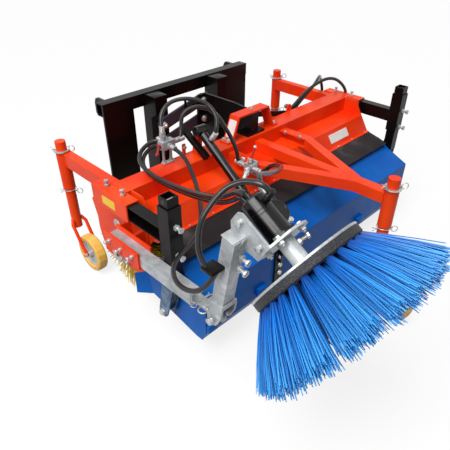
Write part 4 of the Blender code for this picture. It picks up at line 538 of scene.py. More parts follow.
PORT_GAP = 0.0005
VALVE_L = Vector((-0.504, 0.098, 0.0))
VALVE_R = Vector((-0.2363, -0.15, 0.608))
motor_port = on_axis(0.015, 0.01, 0.055)
brush_port = Vector((0.8363, 0.14, 0.332))
BEAM_BACK_Y = 0.11
BAR_BACK_Y = 0.1286
behind_beam = BEAM_BACK_Y + HOSE_DIAMETER / 2 + PORT_GAP
behind_bar = BAR_BACK_Y + HOSE_DIAMETER / 2 + PORT_GAP
HOSES = {
    "hose_cylinder_rear": ("machine", [
        (VALVE_L.x - 0.018, VALVE_L.y, 0.772 + PORT_GAP), (VALVE_L.x - 0.018, VALVE_L.y, 0.8),
        (-0.5, 0.125, 0.85), (-0.44, 0.132, 0.888), (-0.375, 0.09, 0.898), (-0.325, 0.03, 0.878),
        (-0.318, -0.02, 0.836), (-0.334, -0.04, 0.8), rear_port + cyl_up * 0.032,
        rear_port + cyl_up * PORT_GAP]),
    "hose_valve_link": ("machine", [
        (VALVE_L.x + 0.056 + PORT_GAP, VALVE_L.y, 0.727), (-0.424, VALVE_L.y, 0.727), (-0.405, 0.112, 0.775),
        (-0.392, 0.118, 0.822), (-0.352, 0.098, 0.85), (-0.312, 0.06, 0.85), (-0.28, 0.02, 0.822),
        (-0.258, -0.03, 0.75), (-0.242, -0.07, 0.67), (VALVE_R.x, VALVE_R.y + 0.074, VALVE_R.z),
        (VALVE_R.x, VALVE_R.y + 0.046 + PORT_GAP, VALVE_R.z)]),
    "hose_side_feed": ("machine", [
        (VALVE_R.x, VALVE_R.y - 0.046 - PORT_GAP, VALVE_R.z), (VALVE_R.x, VALVE_R.y - 0.074, VALVE_R.z),
        (-0.24, -0.27, 0.66), (-0.28, -0.35, 0.705), (-0.37, -0.43, 0.76), (-0.48, -0.5, 0.815),
        (-0.59, -0.545, 0.862), (-0.66, -0.568, 0.892), motor_port - brush_axis * 0.036,
        motor_port - brush_axis * PORT_GAP]),
    "hose_side_return": ("machine", [
        (VALVE_L.x, VALVE_L.y - 0.018 - PORT_GAP, 0.724), (VALVE_L.x, 0.05, 0.724), (-0.509, -0.023, 0.712),
        (-0.532, -0.085, 0.689), (-0.56, -0.146, 0.662), (-0.6, -0.215, 0.64), (-0.66, -0.29, 0.612),
        (SIDE_ARM_X + 0.125, -0.352, 0.588), (SIDE_ARM_X + 0.045, -0.372, 0.574),
        (SIDE_ARM_X - 0.015, -0.392, 0.568), (SIDE_ARM_X - 0.055, -0.43, 0.564),
        (SIDE_ARM_X - 0.077, -0.48, 0.562), (SIDE_ARM_X - 0.081, -0.535, 0.57),
        (SIDE_ARM_X - 0.075, -0.59, 0.6), (SIDE_ARM_X - 0.055, -0.622, 0.65),
        (SIDE_ARM_X - 0.037, -0.634, 0.7)]),
    "hose_side_long": ("machine", [
        (VALVE_L.x, VALVE_L.y + 0.018 + PORT_GAP, 0.732), (VALVE_L.x, VALVE_L.y + 0.048, 0.732),
        (-0.545, 0.168, 0.724), (-0.612, 0.15, 0.704), (-0.645, 0.108, 0.686), (-0.655, 0.05, 0.672),
        (-0.66, -0.05, 0.672), (-0.664, -0.16, 0.684), (-0.68, -0.31, 0.722), (-0.715, -0.45, 0.785),
        (-0.742, -0.54, 0.852), motor_end - brush_axis * 0.042, motor_end - brush_axis * PORT_GAP]),
    "hose_motor_right": ("machine", [
        (0.15, behind_beam + 0.0002, 0.59), (0.23, behind_beam + 0.002, 0.589), (0.3, 0.128, 0.59),
        (0.365, behind_bar, 0.593), (0.437, behind_bar, 0.614), (0.512, 0.134, 0.668), (0.606, 0.13, 0.722),
        (0.7, 0.165, 0.745), (0.768, 0.203, 0.712), (0.818, 0.216, 0.64), (0.838, 0.214, 0.54),
        (0.84, 0.195, 0.44), (0.838, 0.152, 0.372), brush_port + Vector((0.0, 0.0, 0.02)),
        brush_port + Vector((0.0, 0.0, PORT_GAP))]),
    "hose_head_loop": ("head", [
        on_axis(0.03, MOTOR_RADIUS + 0.016 + PORT_GAP), on_axis(0.03, MOTOR_RADIUS + 0.04),
        (SIDE_ARM_X + 0.098, -0.68, 0.944), (SIDE_ARM_X + 0.082, -0.63, 0.943),
        (SIDE_ARM_X + 0.055, -0.592, 0.925), (SIDE_ARM_X + 0.015, -0.575, 0.895),
        (SIDE_ARM_X - 0.04, -0.565, 0.83), (SIDE_ARM_X - 0.065, -0.58, 0.75),
        (SIDE_ARM_X - 0.065, -0.61, 0.7)]),
}
# Second hose of two pairs, laid along the first
TWIN_HOSES = {
    "side_long_twin": ("machine", [
        (VALVE_L.x, VALVE_L.y + 0.018 + PORT_GAP, 0.711), (VALVE_L.x, VALVE_L.y + 0.046, 0.711),
        (-0.547, 0.16, 0.703), (-0.606, 0.139, 0.684), (-0.636, 0.098, 0.667), (-0.645, 0.045, 0.653),
        (-0.65, -0.052, 0.652), (-0.655, -0.162, 0.663), (-0.672, -0.314, 0.7), (-0.708, -0.456, 0.763),
        (-0.7375, -0.549, 0.832), motor_end - brush_axis * 0.042 - brush_up * 0.026,
        motor_end - brush_axis * PORT_GAP - brush_up * 0.026]),
    "motor_right_twin": ("machine", [
        (0.15, behind_beam + 0.0002, 0.612), (0.23, behind_beam + 0.002, 0.612), (0.3, 0.128, 0.612),
        (0.365, behind_bar, 0.614), (0.437, behind_bar, 0.64), (0.512, 0.134, 0.69), (0.59, 0.118, 0.728),
        (0.673, 0.1, 0.7505), (0.745, 0.083, 0.738), (0.8, 0.07, 0.7), (0.845, 0.062, 0.65),
        (0.8625, 0.064, 0.59), (0.863, 0.072, 0.5), (0.854, 0.092, 0.42),
        brush_port + Vector((0.0, -0.0255, 0.02)), brush_port + Vector((0.0, -0.0255, PORT_GAP))]),
}
ALL_HOSES = {**HOSES, **TWIN_HOSES}
for name, (body, route) in ALL_HOSES.items():
    line = [at(*place) for place in hose_line(route)]
    hose = tube(name + "_cover", line, HOSE_DIAMETER / 2, sides=16)
    dress(hose, body, hose_cover)
    if name in HOSES:
        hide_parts(name)


# Brushes: many tapered strands, each with a slight bow
STRAND_SIDES = 4
STRAND_SEGMENTS = 3
STRAND_SMOOTH_ANGLE = 60.0


def strand_set(name, strands):
    """Many strands as one piece. Each is (start, end, bow, root radius, tip radius, tone)."""
    places, faces, along, tones = [], [], [], []
    for start, end, bow, radius, tip_radius, tone in strands:
        first = len(places)
        axis = (end - start).normalized()
        across = axis.orthogonal().normalized()
        beside = axis.cross(across)
        for ring in range(STRAND_SEGMENTS + 1):
            share = ring / STRAND_SEGMENTS
            centre = start.lerp(end, share) + bow * (4.0 * share * (1.0 - share))
            thick = radius + (tip_radius - radius) * share
            for side in range(STRAND_SIDES):
                angle = 2 * math.pi * (side + 0.5) / STRAND_SIDES
                places.append(centre + (across * math.cos(angle) + beside * math.sin(angle)) * thick)
                along.append(share)
                tones.append(tone)
        for ring in range(STRAND_SEGMENTS):
            for side in range(STRAND_SIDES):
                a = first + ring * STRAND_SIDES + side
                b = first + ring * STRAND_SIDES + (side + 1) % STRAND_SIDES
                faces.append((a, b, b + STRAND_SIDES, a + STRAND_SIDES))
        last = first + STRAND_SEGMENTS * STRAND_SIDES
        faces.append(tuple(first + side for side in reversed(range(STRAND_SIDES))))
        faces.append(tuple(last + side for side in range(STRAND_SIDES)))
    mesh = bpy.data.meshes.new(name)
    mesh.from_pydata(places, [], faces)
    for label, values in (("along", along), ("tone", tones)):
        layer = mesh.attributes.new(label, "FLOAT", "POINT")
        layer.data.foreach_set("value", values)
    piece = bpy.data.objects.new(name, mesh)
    bpy.context.scene.collection.objects.link(piece)
    return smooth(piece, STRAND_SMOOTH_ANGLE)


DISC_LOW = MOTOR_BACK + DISC_HALF
GOLDEN = math.pi * (3.0 - math.sqrt(5.0))
# Rings of tufts: count, strands in each, first tuft's turn, root radius, tip radius, drop below the disc
TUFT_RINGS = ((28, 64, 0.3, 0.166, 0.298, 0.196), (28, 42, 0.8, 0.128, 0.254, 0.204))
TUFT_ROOT_IN = 0.003
ROOT_SPREAD = 0.0085
TIP_SPREAD_OUT = 0.028
TIP_SPREAD_AROUND = 0.03
TIP_CROWN = 0.026
SIDE_STRAND = (0.00175, 0.0015)
strands = []
for tufts, tuft_strands, first_turn, root_ring, tip_ring, tip_drop in TUFT_RINGS:
    for tuft in range(tufts):
        angle = 2 * math.pi * (tuft + first_turn) / tufts + rng.uniform(-0.012, 0.012)
        out = brush_up * math.cos(angle) + Vector((math.sin(angle), 0.0, 0.0))
        around = brush_up * -math.sin(angle) + Vector((math.cos(angle), 0.0, 0.0))
        base = on_axis(DISC_LOW - TUFT_ROOT_IN) + out * root_ring
        tip = on_axis(DISC_LOW + tip_drop) + out * tip_ring + around * rng.uniform(-0.008, 0.008)
        for index in range(tuft_strands):
            spread = math.sqrt((index + 0.5) / tuft_strands)
            turn = GOLDEN * index + tuft
            reach_out = math.cos(turn) * spread
            reach_around = math.sin(turn) * spread
            start = base + (out * reach_out + around * reach_around) * ROOT_SPREAD
            end = tip + out * (reach_out * TIP_SPREAD_OUT) + around * (reach_around * TIP_SPREAD_AROUND)
            end += brush_axis * (-TIP_CROWN * reach_out + rng.uniform(-0.009, 0.009))
            end = start + (end - start) * rng.uniform(0.95, 1.02)
            bow = out * rng.uniform(0.0, 0.008) + around * rng.uniform(-0.004, 0.004)
            strands.append((start + SHIFT, end + SHIFT, bow, *SIDE_STRAND, rng.random()))
side_strands = strand_set("side_brush_strands", strands)
dress(side_strands, "side_brush", blue_strand)
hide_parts("side_bristles")

BRUSH_PLACE = Vector((0.0, 0.14, 0.27))
ALONG_ROLLER = Vector((1.0, 0.0, 0.0))
ROLLER_RINGS = 52
ROLLER_AROUND = 34
ROLLER_HALF = 0.733
ROLLER_LIMIT = 0.7445
ROLLER_ROOT = 0.106
ROLLER_REACH = 0.2445
ROLLER_STRAND = (0.0021, 0.0016)
strands = []
for ring in range(ROLLER_RINGS):
    foot = BRUSH_PLACE + ALONG_ROLLER * (2 * ROLLER_HALF * ring / (ROLLER_RINGS - 1) - ROLLER_HALF)
    for index in range(ROLLER_AROUND):
        angle = 2 * math.pi * (index + 0.5 * (ring % 2)) / ROLLER_AROUND + rng.uniform(-0.04, 0.04)
        out = Vector((0.0, math.cos(angle), math.sin(angle)))
        lean = ALONG_ROLLER * rng.uniform(-0.012, 0.012)
        end = foot + lean + out * rng.uniform(0.228, ROLLER_REACH)
        end.x = max(-ROLLER_LIMIT, min(ROLLER_LIMIT, end.x))
        bow = out.cross(ALONG_ROLLER) * rng.uniform(-0.006, 0.006)
        strands.append((foot + out * ROLLER_ROOT + SHIFT, end + SHIFT, bow, *ROLLER_STRAND, rng.random()))
# Denser rings at both ends of the roller
END_RINGS = 7
END_AROUND = 110
END_OUTER = 0.734
END_PITCH = 0.009
END_STRAND = (0.0023, 0.0018)
for side in (-1.0, 1.0):
    for ring in range(END_RINGS):
        foot = BRUSH_PLACE + ALONG_ROLLER * (side * (END_OUTER - END_PITCH * ring))
        for index in range(END_AROUND):
            angle = 2 * math.pi * (index + rng.random()) / END_AROUND
            out = Vector((0.0, math.cos(angle), math.sin(angle)))
            reach = out * rng.uniform(0.226, ROLLER_REACH)
            end = foot + reach + ALONG_ROLLER * (side * rng.uniform(-0.004, 0.01))
            bow = out.cross(ALONG_ROLLER) * rng.uniform(-0.008, 0.008)
            strands.append((foot + out * ROLLER_ROOT + SHIFT, end + SHIFT, bow, *END_STRAND, rng.random()))
main_strands = strand_set("roller_strands", strands)
BACKING_HALF = 0.737
BACKING_INNER = 0.1003
BACKING_OUTER = 0.11
# The backing has no strand attributes, so it takes the root tone darkened further: painted shade among the
# roller's strand roots
turned_part("roller_backing", "main_brush", yellow_strand, BRUSH_PLACE, ALONG_ROLLER, [
    (BACKING_INNER, -BACKING_HALF), (BACKING_OUTER, -BACKING_HALF), (BACKING_OUTER, BACKING_HALF),
    (BACKING_INNER, BACKING_HALF), (BACKING_INNER, -BACKING_HALF)], 48, hollow=True)
dress(main_strands, "main_brush", yellow_strand)
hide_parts("brush_bristles")


# Fastenings, each modelled once about the origin and copied with its own mesh
HEX_CHAMFER = 0.0011
THREAD_PITCH = 0.00175
THREAD_DEPTH = 0.0007
HEAD_ACROSS = 0.019
SHANK_RADIUS = 0.006
WASHER_RADIUS = 0.012
WASHER_EDGE = 0.0004
WASHER_TOP = 0.0022
SEAT = -0.0006


def hexagon(name, across, low, high):
    """A six-sided prism with both ends chamfered."""
    radius = across / math.sqrt(3.0)
    return turned(name, [
        (radius - HEX_CHAMFER, low), (radius, low + HEX_CHAMFER * 0.6), (radius, high - HEX_CHAMFER * 0.6),
        (radius - HEX_CHAMFER, high)], 6)


def threaded(name, low, high):
    """A threaded shank: shallow grooves at the pitch, chamfered at its end."""
    groove = SHANK_RADIUS - THREAD_DEPTH
    rings = [(groove, low)]
    height = low
    while height + THREAD_PITCH < high - THREAD_PITCH:
        rings += [(SHANK_RADIUS, height + THREAD_PITCH / 2), (groove, height + THREAD_PITCH)]
        height += THREAD_PITCH
    rings += [(SHANK_RADIUS, height + THREAD_PITCH / 2), (SHANK_RADIUS - 0.0012, high)]
    return turned(name, rings, 14)


def washer(name):
    return turned(name, [
        (WASHER_RADIUS - WASHER_EDGE, SEAT), (WASHER_RADIUS, SEAT + WASHER_EDGE),
        (WASHER_RADIUS, WASHER_TOP - WASHER_EDGE), (WASHER_RADIUS - WASHER_EDGE, WASHER_TOP)], 24)


def split_pin(name, half, eye, wire):
    """A split pin bent from wire: two legs through the hole and a round eye outside."""
    legs = [Vector((0.0075, 0.0, -half - 0.016)), Vector((0.0028, 0.0, -half)), Vector((0.0028, 0.0, half)),
            Vector((0.006, 0.0, half + 0.005))]
    loop = [Vector((eye * math.sin(angle), 0.0, half + eye * 1.15 - eye * math.cos(angle)))
            for angle in (math.radians(step) for step in range(30, 331, 20))]
    back = [Vector((-place.x, 0.0, place.z)) for place in reversed(legs)]
    back[-1] = Vector((-0.011, 0.0, -half - 0.013))
    return tube(name, smooth_line(legs + loop + back, 110), wire, 8)


def ferrule():
    """A hose end: union nut and crimped shell with five grooves."""
    rings = [(0.0098, 0.011)]
    for groove in range(5):
        step = 0.0125 + groove * 0.005
        rings += [(0.0121, step), (0.0121, step + 0.0026), (0.011, step + 0.0034), (0.011, step + 0.0046)]
    rings += [(0.0119, 0.0385), (0.0119, 0.04), (0.0096, 0.0408)]
    return joined("ferrule_master", [
        hexagon("union_nut", 0.024, -0.006, 0.0085), turned("crimped_shell", rings, 20)])


masters = {
    "bolt": joined("bolt_master", [washer("bolt_washer"), hexagon("bolt_head", HEAD_ACROSS, 0.0018, 0.0096)]),
    "nut": joined("nut_master", [
        washer("nut_washer"), hexagon("nut_body", HEAD_ACROSS, 0.0018, 0.0116),
        threaded("nut_shank", 0.01, 0.0185)]),
    "set_bolt": joined("set_bolt_master", [
        hexagon("locknut", HEAD_ACROSS, SEAT, 0.009), threaded("set_shank", 0.008, 0.0235),
        hexagon("set_head", HEAD_ACROSS, 0.0225, 0.03)]),
    "rivet": turned("rivet_master", [
        (0.0044, SEAT), (0.0044, 0.0005), (0.0036, 0.0017), (0.0018, 0.0024)], 14),
    "hole": turned("hole_master", [
        (0.0052, SEAT), (0.0052, 0.0002), (0.0046, 0.0003), (0.0046, -0.0004)], 16),
    "ring": turned("ring_master", [
        (0.0325, -0.0012), (0.0335, 0.0), (0.0325, 0.0012), (0.0305, 0.0012), (0.0295, 0.0),
        (0.0305, -0.0012), (0.0325, -0.0012)], 36, hollow=True),
    "split_pin": split_pin("split_pin_master", half=0.032, eye=0.0135, wire=0.0022),
    "ferrule": ferrule(),
    "hub_screw": joined("hub_screw_master", [
        hexagon("hub_locknut", HEAD_ACROSS, -0.001, 0.009), threaded("hub_shank", 0.008, 0.03),
        hexagon("hub_head", HEAD_ACROSS, 0.0295, 0.038)]),
    "union": joined("union_master", [
        hexagon("union_low", 0.022, -0.01, 0.003), hexagon("union_high", 0.019, 0.0035, 0.012)]),
}
counts = {}


def fit(kind, body, place, direction, size, spin=0.0, finish=bright_zinc):
    """Copies a fastening to a place of the layout, facing a direction, and hangs it on a body."""
    counts[kind] = counts.get(kind, 0) + 1
    matrix = facing(at(*place), direction, spin) @ Matrix.Scale(size, 4)
    piece = named(copy_of(masters[kind], matrix), "%s_%02d" % (kind, counts[kind]))
    return dress(piece, body, finish)


LEFT, RIGHT, FRONT, BACK, UP = (-1, 0, 0), (1, 0, 0), (0, -1, 0), (0, 1, 0), (0, 0, 1)
POST_LEAN = math.radians(10.2)
POST_FRONT = (0.0, -math.cos(POST_LEAN), -math.sin(POST_LEAN))
BEARING_X = -0.7783
MOTOR_FLANGE_X = 0.7803
FLANGE_CORNERS = ((0.098, 0.228), (0.182, 0.228), (0.098, 0.312), (0.182, 0.312))
# Rows of alike fastenings: kind, body, direction, size and places
FASTENINGS = [
    # both sleeves, the side bracket's cheek and the tubes that hold the bin posts
    ("set_bolt", "machine", UP, 0.95, [(x, y, 0.638) for x in (-0.812, 0.812) for y in (0.11, 0.0)]),
    ("set_bolt", "machine", LEFT, 0.85, [
        (-0.8985, 0.003, 0.465), (-0.8985, -0.073, 0.46), (-0.8985, -0.152, 0.467)]),
    ("set_bolt", "machine", FRONT, 1.15, [
        (-0.812, -0.325, 0.648), (-0.812, -0.325, 0.522), (0.812, -0.325, 0.636), (0.812, -0.325, 0.543)]),
    # bridge strap, lug and front frame
    ("nut", "machine", UP, 1.1, [(-0.001, 0.062, 0.7505)]),
    ("bolt", "machine", UP, 1.0, [(x, y, 0.6485) for x in (0.151, -0.173) for y in (0.078, 0.048)]),
    ("bolt", "machine", LEFT, 0.9, [(-0.2152, -0.09, 0.62)]),
    ("bolt", "machine", LEFT, 0.8, [(0.1648, -0.026, 0.616), (0.1648, -0.12, 0.618)]),
    # links, hitch frame and slotted bar
    ("bolt", "machine", FRONT, 1.5, [(0.011, 0.42, 0.71), (0.011, 0.42, 0.607)]),
    ("nut", "hitch_frame", FRONT, 1.35, [(-0.2563, 0.432, 0.6434), (-0.2563, 0.432, 0.5404)]),
    ("bolt", "machine", BACK, 1.1, [(0.361, 0.1286, 0.66)]),
    # side arm, fork pin and post
    ("bolt", "side_post", LEFT, 1.25, [(-0.907, -0.6, 0.457)]),
    ("nut", "side_post", RIGHT, 1.25, [(-0.823, -0.6, 0.457)]),
    ("set_bolt", "side_post", POST_FRONT, 1.15, [(-0.85, -0.6752, 0.732), (-0.85, -0.6671, 0.687)]),
    ("ring", "side_post", POST_FRONT, 0.55, [(-0.852, -0.688, 0.786)]),
    ("hole", "side_arm", LEFT, 1.0, [(-0.89, -0.234, 0.464), (-0.89, -0.306, 0.461)]),
    ("split_pin", "side_arm", LEFT, 0.85, [(-0.865, -0.515, 0.468)]),
    ("split_pin", "side_post", LEFT, 1.2, [(-0.866, -0.583, 0.505)]),
    # bin posts, hitch frame and bin pins
    ("hole", "bin_post_left", LEFT, 1.2, [(-0.837, -0.295, 0.748)]),
    ("hole", "bin_post_right", RIGHT, 1.2, [(0.837, -0.295, 0.748)]),
    ("bolt", "hitch_frame", FRONT, 1.5, [(0.248, 0.4895, 0.58)]),
    ("bolt", "hitch_frame", FRONT, 1.3, [(-0.248, 0.4895, 0.58)]),
    ("bolt", "bin_post_left", LEFT, 1.3, [(-0.8375, -0.233, 0.189)]),
    ("bolt", "bin_post_right", RIGHT, 1.3, [(0.8375, -0.233, 0.189)]),
    # strap of the dump cylinder, bearing flange and motor flange of the roller
    ("bolt", "bin", FRONT, 0.95, [(-0.345, -0.441, z) for z in (0.322, 0.278, 0.234)]),
    ("bolt", "machine", LEFT, 0.9, [(BEARING_X, y, z) for y, z in FLANGE_CORNERS]),
    ("bolt", "machine", RIGHT, 0.9, [(MOTOR_FLANGE_X, y, z) for y, z in FLANGE_CORNERS]),
]
for kind, body, direction, size, places in FASTENINGS:
    for place in places:
        fit(kind, body, place, direction, size)

RIVETS = 12
FIRST_RIVET_X = -0.758
RIVET_PITCH = 0.1345
for index in range(RIVETS):
    fit("rivet", "machine", (FIRST_RIVET_X + RIVET_PITCH * index, -0.1745, 0.4915), (0, -0.15, 1), 1.0)

# Caster pins, washers, spare holes in the stems (dark rubber discs, painted shade inside the holes), hub caps
# and axle bolts
PIN_AIM = (0.71, -0.70, 0.0)
PIN_SPIN = math.radians(90.0)
CASTERS = (
    ("left", -0.775, 0.545, 0.636, 0.44), ("right", 0.775, 0.545, 0.636, 0.44),
    ("front", 0.0, -0.717, 0.635, 0.455))
STEM_HOLES = 5
STEM_HOLE_PITCH = 0.026
STEM_FACE = 0.0247
CASTER_TRAIL = 0.113
WHEEL_AXIS_Z = 0.1
HUB_FACE = 0.0242
AXLE_FACE = 0.036
HUB_CAP_RINGS = [
    (0.0195, -0.001), (0.0195, 0.0035), (0.018, 0.005), (0.0125, 0.0052), (0.0118, 0.003),
    (0.0072, 0.003)]
for label, x, y, top, low in CASTERS:
    stem = "caster_%s_stem" % label
    collar = "caster_%s_collar" % label
    for height in (top + 0.0115, low - 0.02):
        fit("split_pin", collar, (x, y, height), PIN_AIM, 1.0, PIN_SPIN)
    fit("ring", collar, (x, y, low - 0.006), UP, 0.97)
    stem_aim = Vector(PIN_AIM).normalized()
    for step in range(STEM_HOLES):
        height = low - 0.05 - STEM_HOLE_PITCH * step
        for side in (-1, 1):
            # Each spare hole is a dark rubber disc on the stem's face: painted shade inside the hole
            hole_shade_place = Vector((x, y, height)) + stem_aim * side * STEM_FACE
            fit("hole", stem, hole_shade_place, stem_aim * side, 1.0, finish=rubber)
    wheel_place = Vector((x, y - CASTER_TRAIL, WHEEL_AXIS_Z))
    for side, aim, kind in ((-1, LEFT, "bolt"), (1, RIGHT, "nut")):
        cap_place = wheel_place + Vector((side * HUB_FACE, 0.0, 0.0))
        turned_part("hub_cap_%s_%d" % (label, side), "caster_%s_wheel" % label, bright_zinc,
                    cap_place, aim, HUB_CAP_RINGS, 24)
        fit(kind, stem, wheel_place + Vector((side * AXLE_FACE, 0.0, 0.0)), aim, 1.0)

# Head: casing with its seams over the motor, flange, cap of the valve drum, plate bolts
casing_rings = [(0.03, -0.007), (0.035, -0.0062), (0.0375, -0.003), (0.0405, 0.0), (0.0431, 0.003)]
for seam in (0.042, 0.054):
    casing_rings += [(0.0431, seam), (0.0423, seam + 0.0006), (0.0423, seam + 0.0018), (0.0431, seam + 0.0024)]
casing_rings += [
    (0.0431, PLATE_AT - 0.02), (0.0445, PLATE_AT - 0.019), (0.0445, PLATE_AT - 0.013),
    (0.03, PLATE_AT - 0.013)]
turned_part("motor_casing", "head", motor_paint, motor_end, brush_axis, casing_rings, 48)
FLANGE_AT = PLATE_AT - 0.0135
FLANGE_SPIN = math.radians(22.5)
turned_part("motor_flange", "head", motor_paint, on_axis(FLANGE_AT), brush_axis, [
    (0.05, 0.0), (0.053, 0.0015), (0.053, 0.0125), (0.0515, 0.0134)], 8, spin=FLANGE_SPIN)
drum_top = on_axis(0.07, lift=0.024, across=0.033)
turned_part("valve_drum_cap", "head", motor_paint, drum_top, brush_up, [
    (0.0383, -0.002), (0.0383, 0.001), (0.0365, 0.003), (0.03, 0.0032), (0.029, 0.002),
    (0.012, 0.002), (0.0105, 0.005), (0.006, 0.0052)], 36)
PLATE_BOLT_CIRCLE = 0.062
PLATE_BOLT_TURNS = (40.0, 130.0, 220.0, 310.0)
for turn in PLATE_BOLT_TURNS:
    angle = math.radians(turn)
    lift = PLATE_BOLT_CIRCLE * math.cos(angle)
    across = PLATE_BOLT_CIRCLE * math.sin(angle)
    fit("nut", "head", on_axis(PLATE_END, lift, across), brush_axis, 0.95)
    fit("bolt", "head", on_axis(PLATE_AT, lift, across), -brush_axis, 0.95)
HEAD_CHEEK_X = -0.8397
for distance, lift in ((0.036, -0.004), (0.128, -0.006)):
    fit("bolt", "head", (HEAD_CHEEK_X, *on_axis(distance, lift).yz), LEFT, 1.15)
fit("bolt", "head", on_axis(0.112, lift=0.02, across=0.05), brush_up, 0.8)

# Side brush: screw in its hub, edge of its disc and rim of the plate below
HUB_SCREW_AT = 0.178
HUB_SCREW_OUT = 0.0275
HUB_SCREW_LEAN = math.radians(62.0)
screw_aim = brush_up * math.cos(HUB_SCREW_LEAN) + Vector((math.sin(HUB_SCREW_LEAN), 0.0, 0.0))
screw_aim.normalize()
fit("hub_screw", "side_brush", on_axis(HUB_SCREW_AT) + screw_aim * HUB_SCREW_OUT, screw_aim, 1.05)
DISC_FRONT = MOTOR_BACK - DISC_HALF
turned_part("disc_edge", "side_brush", plastic, on_axis(DISC_FRONT + 0.007), brush_axis, [
    (0.15, 0.0), (0.1862, 0.0), (0.1862, 0.023), (0.1805, 0.028), (0.15, 0.0282), (0.15, 0.0)],
    96, hollow=True)
turned_part("disc_plate_rim", "side_brush", bright_zinc, on_axis(DISC_FRONT), brush_axis, [
    (0.15, -0.0008), (0.1858, -0.0008), (0.1872, 0.0008), (0.1872, 0.0058), (0.1858, 0.0072),
    (0.15, 0.0072), (0.15, -0.0008)], 96, hollow=True)

# Hose ends: union nut and crimped shell, black at the motor and none where an end sits in a block
BARE_ENDS = {
    ("hose_motor_right", 0), ("motor_right_twin", 0), ("hose_side_return", -1), ("hose_head_loop", -1)}
BLACK_ENDS = {("hose_head_loop", 0), ("hose_side_long", -1), ("side_long_twin", -1)}
for name, (body, route) in ALL_HOSES.items():
    for tip, inner in ((0, 1), (-1, -2)):
        if (name, tip) in BARE_ENDS:
            continue
        aim = Vector(route[inner]) - Vector(route[tip])
        if (name, tip) in BLACK_ENDS:
            fit("ferrule", body, route[tip], aim, 0.88, finish=motor_paint)
        else:
            fit("ferrule", body, route[tip], aim, 1.0)

# Blocks: hose block, caps of the hitch posts, stub on the mast, lug on the beam, lug and feet of the bin
BLOCKS = (
    ("hose_block", "side_post", black_paint, (-0.943, -0.65, 0.693), (-0.889, -0.598, 0.707), 0.003),
    ("hitch_cap_left", "hitch_frame", black_paint, (-0.26, 0.489, 0.7665), (-0.18, 0.5775, 0.7705), 0.001),
    ("hitch_cap_right", "hitch_frame", black_paint, (0.18, 0.489, 0.7665), (0.26, 0.5775, 0.7705), 0.001),
    ("mast_stub", "machine", black_paint, (-0.118, 0.414, 0.698), (-0.05, 0.422, 0.712), 0.0015),
    ("mast_stub_end", "machine", black_paint, (-0.124, 0.412, 0.698), (-0.116, 0.424, 0.744), 0.0015),
    ("pin_lug", "machine", red_paint, (-0.41, 0.104, 0.636), (-0.392, 0.112, 0.69), 0.002),
    ("bin_corner_lug", "bin", blue_paint, (-0.778, -0.449, 0.169), (-0.728, -0.4295, 0.208), 0.007),
    ("bin_foot_1", "bin", blue_paint, (-0.48, -0.448, 0.172), (-0.42, -0.4295, 0.214), 0.003),
    ("bin_foot_2", "bin", blue_paint, (0.3, -0.448, 0.172), (0.36, -0.4295, 0.214), 0.003),
)
for row in BLOCKS:
    block_part(*row)

# Pins and cap of the posts, and the rear boss of the dump cylinder
POST_PIN_RINGS = [(0.0035, -0.0208), (0.0045, -0.02), (0.0045, 0.02), (0.0035, 0.0208)]
for label, x in (("left", -0.812), ("right", 0.812)):
    pin_place = (x, -0.295, 0.748)
    turned_part("post_pin_" + label, "bin_post_" + label, bright_zinc, pin_place, RIGHT, POST_PIN_RINGS, 16)
POST_TOP = (-0.865, -0.6585, 0.8062)
post_cap = block("post_cap", (-0.0265, -0.0265, 0.0), (0.0265, 0.0265, 0.0045), 0.0018)
settle(post_cap, Matrix.Translation(at(*POST_TOP)) @ Matrix.Rotation(POST_LEAN, 4, "X"))
dress(post_cap, "side_post", zinc)
turned_part("cylinder_rear_boss", "machine", motor_paint, CYL_REAR, RIGHT, [
    (0.008, -0.029), (0.0222, -0.029), (0.0232, -0.0278), (0.0232, 0.0278), (0.0222, 0.029),
    (0.008, 0.029)], 40)

# Pipe at the port of the dump cylinder, its two unions and the union on the right valve
PIPE_RADIUS = 0.0085
pipe_route = [
    (-0.345, -0.217, 0.6), (-0.345, -0.217, 0.622), (-0.33, -0.212, 0.632), (-0.3, -0.19, 0.628),
    (-0.268, -0.168, 0.622)]
pipe_line = [at(*place) for place in smooth_line(pipe_route, 24)]
dress(tube("port_link", pipe_line, PIPE_RADIUS, 16), "cylinder_barrel", bright_zinc)
fit("union", "cylinder_barrel", (-0.318, -0.205, 0.631), (0.8, 0.55, -0.05), 1.0)
fit("union", "cylinder_barrel", (-0.288, -0.181, 0.626), (0.8, 0.55, -0.1), 1.05)
fit("union", "machine", (-0.2363, -0.15, 0.64), UP, 0.9)

# Valve details: nuts on the threaded posts and ball ends on both levers
for x in (-0.524, -0.484):
    fit("nut", "machine", (x, 0.098, 0.645), UP, 0.8)
fit("nut", "machine", (-0.504, 0.098, 0.7455), UP, 0.9)
KNOB_RADIUS = 0.0085
KNOBS = (
    ("lever_left", (-0.6083, 0.028, 0.735), lever_paint),
    ("lever_right", (-0.2063, -0.15, 0.6963), bright_zinc))
for body, place, finish in KNOBS:
    deselect()
    bpy.ops.mesh.primitive_uv_sphere_add(segments=20, ring_count=12, radius=KNOB_RADIUS, location=at(*place))
    knob = named(bpy.context.active_object, body + "_knob")
    apply_place()
    dress(smooth(knob), body, finish)

# Round cover of the left bearing and the bolt in the beam's lug
turned_part("bearing_cover", "machine", bright_zinc, (-0.766, 0.155, 0.408), LEFT, [
    (0.0245, -0.001), (0.0245, 0.003), (0.0225, 0.005), (0.012, 0.0052), (0.011, 0.0035)], 32)
fit("bolt", "machine", (-0.401, 0.104, 0.674), FRONT, 0.8)

# Bare plates, lying on the hood, the left sleeve and the bridge strap
PLATE_THICKNESS = 0.0014
PLATE_CORNER = 0.005


